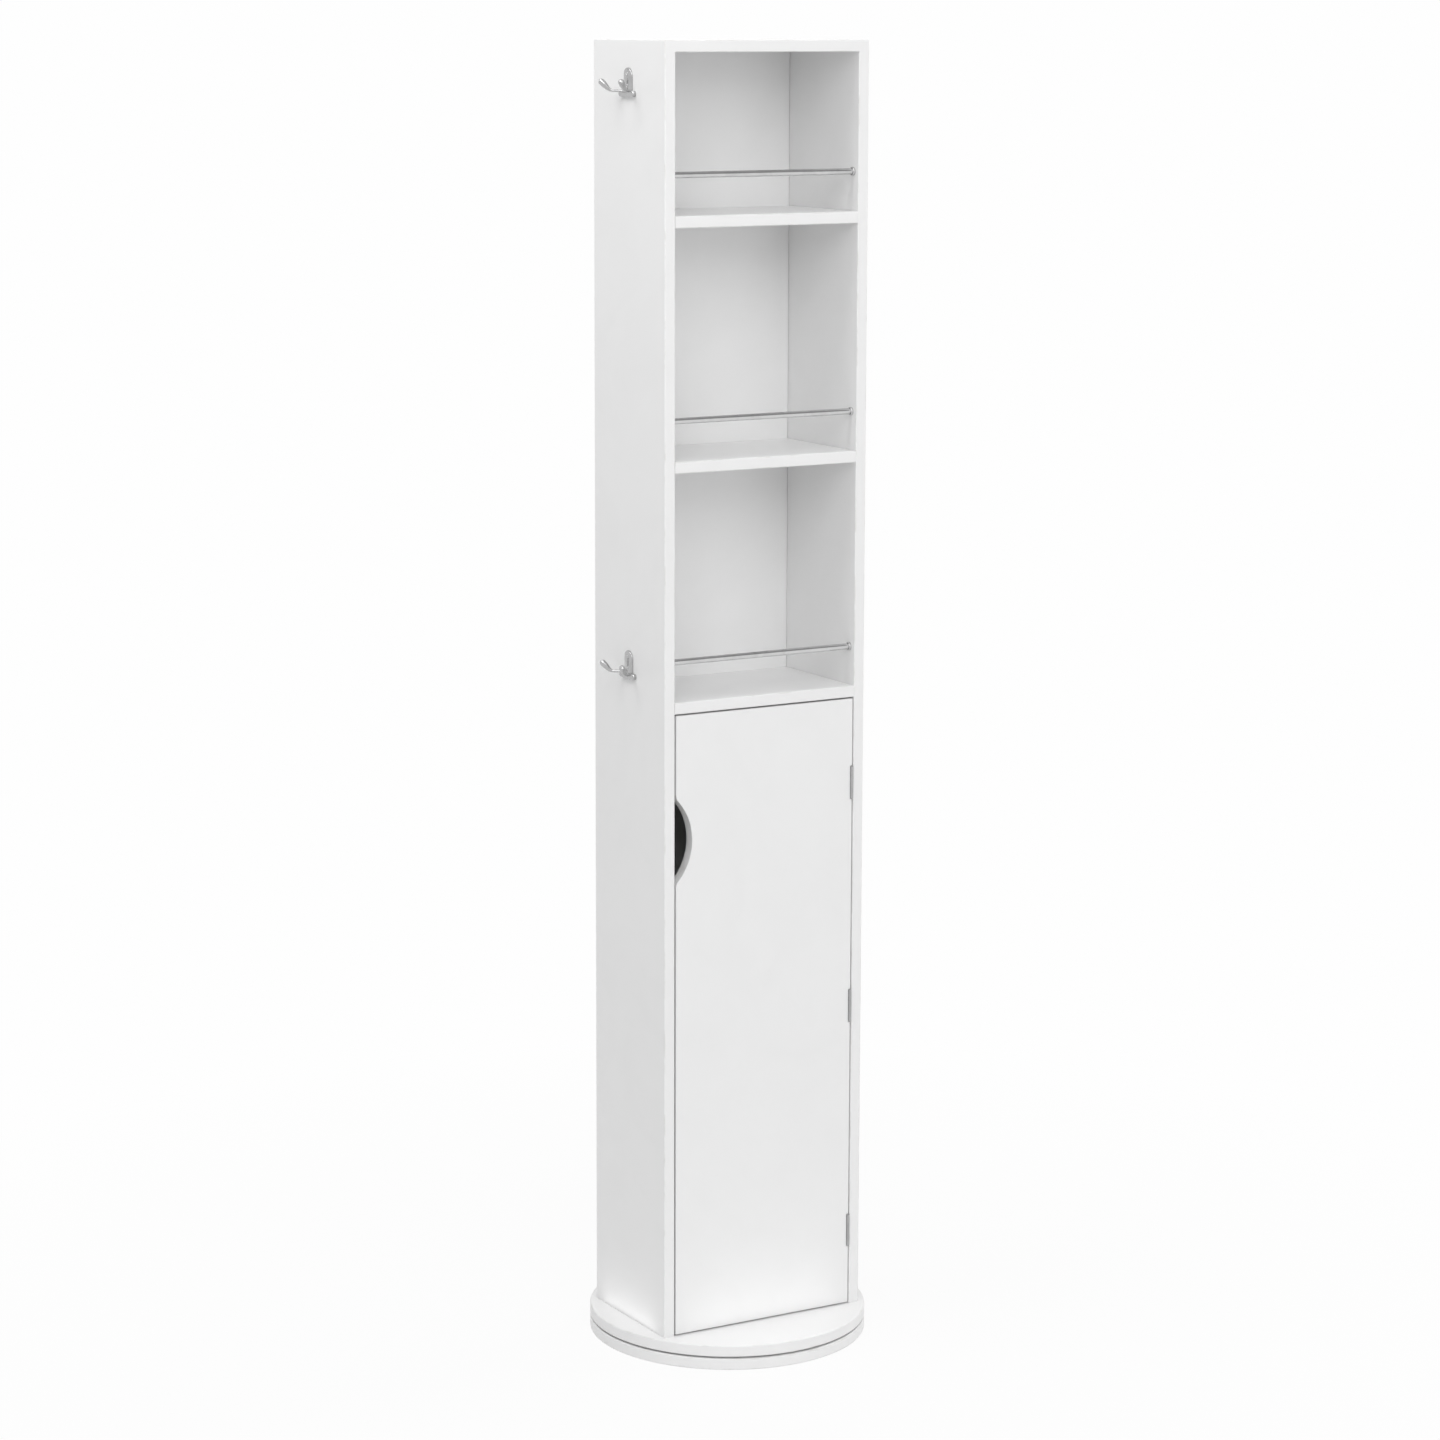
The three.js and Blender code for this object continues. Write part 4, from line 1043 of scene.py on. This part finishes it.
class CABINET_OT_coat_hooks(bpy.types.Operator):
    """Make the four double coat hooks and their screws"""

    bl_idname = "cabinet.coat_hooks"
    bl_label = "Coat Hooks"

    def execute(self, context):
        sizes = context.scene.cabinet_sizes
        low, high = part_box("coat_hook_left_upper")
        wall = Vector((high.x, 0, (low.z + high.z) / 2))
        hook = self.casting(sizes, wall)
        screws = self.hook_screws(sizes, hook, wall)
        smooth(hook, 60)
        smooth(screws)
        for side, sign in SIDES.items():
            for level in ("upper", "lower"):
                node, name = f"coat_hook_{side}_{level}", f"{side}_{level}_coat_hook"
                low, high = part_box(node)
                move = (0, 0, (low.z + high.z) / 2 - wall.z)
                turn = math.pi if sign > 0 else 0.0
                fit(copy_of(hook, name, move, turn), node, "satin_nickel")
                add_to(copy_of(screws, f"{name}_screws", move, turn), BODY_OF[node], "satin_nickel")
        for pattern in (hook, screws):
            bpy.data.meshes.remove(pattern.data)
        return {"FINISHED"}

    def casting(self, sizes, wall):
        """The left-hand hook: a domed plate, a wide foot and two arms, run together like a casting.

        Plate and foot are made longer than they are and cut off at the wall, so that the cut leaves one flat face.
        """
        behind = wall.x + 0.0025
        plate = self.plate(sizes, wall, behind)
        foot = self.foot(sizes, wall, behind)
        arms = [self.arm(sizes, wall, side) for side in (-1, 1)]
        for part in (foot, *arms):
            combine(plate, "UNION", part)
        modify(plate, "REMESH", mode="VOXEL", voxel_size=sizes.casting_grain)
        modify(plate, "SMOOTH", factor=0.5, iterations=5)
        edit(plate)
        bpy.ops.mesh.select_all(action="SELECT")
        bpy.ops.mesh.bisect(plane_co=(wall.x - HAIR, 0, 0), plane_no=(1, 0, 0), use_fill=True, clear_outer=True)
        leave()
        return plate

    def plate(self, sizes, wall, behind):
        """A round-topped plate, domed across its front."""
        radius, height = sizes.hook_plate_width / 2, sizes.hook_plate_height
        front = wall.x - sizes.hook_plate_thickness
        top = wall.z + height / 2
        plate = rod("hook", (behind, 0, top - radius), (front, 0, top - radius), radius, 64)
        body = block("body", (front, -radius, wall.z - height / 2), (behind, radius, top - radius))
        combine(plate, "UNION", body)
        round_edges(plate, sizes.hook_plate_thickness * 0.55, level_with("x", front), 5)
        dome = sizes.hook_plate_dome
        bow = (radius ** 2 + dome ** 2) / (2 * dome)
        axis = front + bow + 2 * HAIR
        combine(plate, "INTERSECT", rod(
            "dome", (axis, 0, wall.z - height), (axis, 0, wall.z + height), bow, LARGE_STEPS))
        return plate

    def foot(self, sizes, wall, behind):
        """The wide foot across the plate's bottom, rounded at both ends."""
        width, height, thick = sizes.hook_foot_width, sizes.hook_foot_height, sizes.hook_foot_thickness
        front, bottom = wall.x - thick, wall.z - sizes.hook_plate_height / 2
        piece = block("foot", (front, -width / 2, bottom), (behind, width / 2, bottom + height))
        round_edges(piece, height * 0.42, along("x"), 6)
        round_edges(piece, thick * 0.4, level_with("x", front), 4)
        return piece

    def arm(self, sizes, wall, side):
        """A bar swept from the foot outwards and upwards, swelling to a round tip."""
        reach, rise, run = sizes.hook_arm_reach, sizes.hook_arm_rise, sizes.hook_arm_run
        thin, full = sizes.hook_arm_root / 2, sizes.hook_arm_tip / 2
        root = Vector((wall.x - sizes.hook_foot_thickness / 2, side * sizes.hook_arm_spread / 2,
                       wall.z - sizes.hook_arm_below_centre))
        splay = sizes.hook_arm_splay
        level = Vector((-math.cos(splay), side * math.sin(splay), 0))
        swell_from, swell_over, end_radius, steps = 0.35, 0.45, 0.00004, 26
        bpy.ops.curve.primitive_nurbs_path_add(location=(0, 0, 0))
        path = bpy.context.object
        path.data.splines.clear()
        line = path.data.splines.new("POLY")
        line.points.add(steps)
        end_share = full / (run + (reach - run) * math.hypot(1, rise / (reach - run)))
        for i, point in enumerate(line.points):
            share = i / steps
            out, up = self.centreline(share, run, reach, rise, sizes.hook_arm_bend)
            point.co = (*(root + level * out + Vector((0, 0, up))), 1)
            swell = min(1, max(0, (share - swell_from) / swell_over))
            swell = swell * swell * (3 - 2 * swell)
            into_end = max(0, (share - (1 - end_share)) / end_share)
            point.radius = (thin + swell * (full - thin)) * math.sqrt(max(0.0, 1 - into_end ** 2)) + end_radius
        path.data.bevel_depth = 1.0
        path.data.bevel_resolution = 8
        path.data.use_fill_caps = True
        take(path)
        bpy.ops.object.convert(target="MESH")
        arm = bpy.context.object
        edit(arm)
        close_seams()
        leave()
        return arm

    @staticmethod
    def centreline(share, run, reach, rise, bend):
        """Reach and height at a share of the arm's length: a level run, a round bend and a straight rise."""
        slope = rise / (reach - run)
        climb = math.hypot(1, slope)
        level, curve = run - bend, bend + bend * climb
        gone = share * (level + curve + (reach - run - bend) * climb)
        if gone <= level:
            return gone, 0.0
        gone -= level
        if gone <= curve:
            t = gone / curve
            out = (1 - t) ** 2 * (run - bend) + 2 * t * (1 - t) * run + t * t * (run + bend)
            return out, t * t * bend * slope
        gone -= curve
        return run + bend + gone / climb, bend * slope + gone / climb * slope

    def hook_screws(self, sizes, hook, wall):
        """Sinks two screws in the plate, one above the other."""
        out, sunk = Vector((-1, 0, 0)), 0.0002
        face, radius = wall.x - sizes.hook_plate_thickness, sizes.screw_head / 2
        spots = [Vector((face, 0, wall.z + rise)) for rise in sizes.hook_screw_rises]
        sink_holes(hook, spots, out, radius)
        return joined("hook_screws", *[domed_screw(spot - out * sunk, out, radius) for spot in spots])


class CABINET_OT_mirror(bpy.types.Operator):
    """Make the full-length mirror on the back, with a ground edge"""

    bl_idname = "cabinet.mirror"
    bl_label = "Mirror"

    def execute(self, context):
        low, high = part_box("mirror_glass")
        piece = block("back_mirror", low, high)
        round_edges(piece, 0.0015, level_with("y", high.y), 1)
        round_edges(piece, 0.0006, level_with("y", low.y), 1)
        fit(piece, "mirror_glass", "mirror", "mirror", "glass_edge")
        for face in piece.data.polygons:
            face.material_index = 0 if face.normal.y > 0.9 else 1
        return {"FINISHED"}


class CABINET_OT_studio(bpy.types.Operator):
    """Make the floor, the soft lights and the camera"""

    bl_idname = "cabinet.studio"
    bl_label = "Studio"

    # Name, place, what it is aimed at, and side of each square lamp
    LAMPS = (
        ("key", (-1.73, -3.71, 3.77), (0, 0, 0.9), 3.0),
        ("front", (0.86, -4.85, 1.77), (0, 0, 0.9), 3.0),
        ("left", (-1.41, 0, 3.29), (0, 0, 1.4), 1.2),
        ("right", (2.13, 0, 2.17), (0, 0, 1.4), 1.2),
        ("top", (-0.2, -1.2, 4.0), (-0.1, -0.2, 0), 1.5),
    )
    # The white that the camera sees around the object
    BACKDROP = (0.991, 0.991, 0.991, 1)

    def execute(self, context):
        scene, studio = context.scene, context.scene.cabinet_studio
        self.floor(scene.cabinet_colours)
        for name, place, aim, size in self.LAMPS:
            self.lamp(f"{name}_light", place, aim, size, getattr(studio, f"{name}_power"))
        self.glow("front_glow", (0, -0.135), (0.22, 0.06), studio.foot_power)
        self.glow("left_glow", (-0.166, 0), (0.028, 0.14), studio.foot_power / 2)
        self.shade_card()
        self.world(scene, studio)
        self.camera(scene, studio)
        scene.view_settings.view_transform = "Standard"
        return {"FINISHED"}

    def floor(self, colours):
        """A floor lit like any other, but seen as white, fading to a faint grey under the object."""
        deselect()
        bpy.ops.mesh.primitive_plane_add(size=60, location=(0, 0, 0))
        floor = name_piece(bpy.context.object, "studio_floor")
        tree, shader = new_finish(
            "studio_floor", Roughness=0.7, Base_Color=opaque(colours.floor), Specular_IOR_Level=0.0)
        distance = add_node(tree, "ShaderNodeVectorMath", {"operation": "LENGTH"})
        feed(tree, distance.inputs[0], tree.nodes.new("ShaderNodeTexCoord").outputs["Object"])
        fade = within(tree, distance.outputs["Value"], 0.25, 1.4, 0.93, 1.0)
        glow = add_node(tree, "ShaderNodeEmission", Color=self.BACKDROP, Strength=1.0)
        share = calculate(tree, "MULTIPLY", self.seen_directly(tree), fade)
        self.mix(tree, share, tree.nodes["Principled BSDF"], glow, "Material Output")
        cover(floor, "studio_floor")

    @staticmethod
    def mix(tree, share, first, second, output):
        """Mixes two shaders into the tree's output."""
        mixed = tree.nodes.new("ShaderNodeMixShader")
        for socket, value in zip(mixed.inputs, (share, first.outputs[0], second.outputs[0])):
            feed(tree, socket, value)
        feed(tree, tree.nodes[output].inputs["Surface"], mixed.outputs["Shader"])

    @staticmethod
    def seen_directly(tree):
        """1 for what the camera, a reflection or glass shows, 0 for light on its way."""
        path = tree.nodes.new("ShaderNodeLightPath")
        seen = calculate(tree, "MAXIMUM", path.outputs["Is Camera Ray"], path.outputs["Is Glossy Ray"])
        return calculate(tree, "MAXIMUM", seen, path.outputs["Is Transmission Ray"])

    def shade_card(self):
        """A grey card high on the right, seen in reflections alone, that gives the metal its dark lines."""
        place = Vector((1.5, -1.1, 3.2))
        turn = (Vector((0, 0, 1.2)) - place).to_track_quat("Z", "Y").to_euler()
        deselect()
        bpy.ops.mesh.primitive_plane_add(size=3, location=place, rotation=turn)
        card = name_piece(bpy.context.object, "shade_card")
        new_finish("shade_card", Roughness=1.0, Base_Color=(0.0, 0.0, 0.0, 1.0), Specular_IOR_Level=0.0,
                   Emission_Color=(0.38, 0.38, 0.38, 1.0), Emission_Strength=1.0)
        cover(card, "shade_card")
        for ray in ("camera", "diffuse", "transmission", "shadow"):
            setattr(card, f"visible_{ray}", False)

    def lamp(self, name, place, aim, size, power):
        place, aim = Vector(place), Vector(aim)
        turn = (aim - place).to_track_quat("-Z", "Y").to_euler()
        deselect()
        bpy.ops.object.light_add(type="AREA", location=place, rotation=turn)
        lamp = name_piece(bpy.context.object, name)
        lamp.data.size = size
        lamp.data.energy = power
        return lamp

    def glow(self, name, middle, extent, power):
        """A faint strip of light just above the foot, shining upwards: what a white disc gives back."""
        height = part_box("turning_disc")[1].z + 0.001
        strip = self.lamp(name, (*middle, height), (*middle, height + 1), extent[0], power)
        strip.rotation_euler = (math.pi, 0, 0)
        strip.data.shape = "RECTANGLE"
        strip.data.size_y = extent[1]
        strip.visible_camera = False
        strip.visible_glossy = False

    def world(self, scene, studio):
        world = bpy.data.worlds.new("studio_world")
        scene.world = world
        world.use_nodes = True
        tree = world.node_tree
        light = tree.nodes["Background"]
        light.inputs["Color"].default_value = (1, 1, 1, 1)
        light.inputs["Strength"].default_value = studio.ambient
        backdrop = add_node(tree, "ShaderNodeBackground", Color=self.BACKDROP, Strength=1.0)
        self.mix(tree, self.seen_directly(tree), light, backdrop, "World Output")

    def camera(self, scene, studio):
        turn = (Matrix.Rotation(-studio.camera_yaw, 4, "Z")
                @ Matrix.Rotation(math.pi / 2 + studio.camera_pitch, 4, "X")
                @ Matrix.Rotation(studio.camera_roll, 4, "Z"))
        deselect()
        bpy.ops.object.camera_add(location=studio.camera_place, rotation=turn.to_euler())
        camera = name_piece(bpy.context.object, "photo_camera")
        camera.data.lens = studio.camera_lens
        camera.data.sensor_width = 36.0
        camera.data.shift_x, camera.data.shift_y = studio.camera_shift
        camera.data.clip_end = 200.0
        scene.camera = camera


STEPS = (
    CABINET_OT_finishes, CABINET_OT_discs, CABINET_OT_ball_race, CABINET_OT_carcass,
    CABINET_OT_cupboard_shelves, CABINET_OT_door, CABINET_OT_gallery_rails, CABINET_OT_hinges,
    CABINET_OT_magnetic_catch, CABINET_OT_coat_hooks, CABINET_OT_mirror, CABINET_OT_studio,
)
SETTINGS = {"cabinet_sizes": CabinetSizes, "cabinet_colours": CabinetColours, "cabinet_studio": CabinetStudio}


class CABINET_PT_dresser(bpy.types.Panel):
    """Lists the steps, sizes and colours in the sidebar"""

    bl_idname = "CABINET_PT_dresser"
    bl_label = "Revolving Cabinet"
    bl_space_type = "VIEW_3D"
    bl_region_type = "UI"
    bl_category = "Cabinet"

    def draw(self, context):
        for step in STEPS:
            self.layout.operator(step.bl_idname)
        for name, kind in SETTINGS.items():
            box = self.layout.box()
            for label in kind.__annotations__:
                box.prop(getattr(context.scene, name), label)


def register():
    for kind in (*SETTINGS.values(), *STEPS, CABINET_PT_dresser):
        bpy.utils.register_class(kind)
    for name, kind in SETTINGS.items():
        setattr(bpy.types.Scene, name, PointerProperty(type=kind))


def unregister():
    for name in SETTINGS:
        delattr(bpy.types.Scene, name)
    for kind in (CABINET_PT_dresser, *reversed(STEPS), *SETTINGS.values()):
        bpy.utils.unregister_class(kind)


def main():
    """Registers the add-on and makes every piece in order."""
    register()
    for step in STEPS:
        group, name = step.bl_idname.split(".")
        getattr(getattr(bpy.ops, group), name)()


if __name__ == "__main__":
    main()
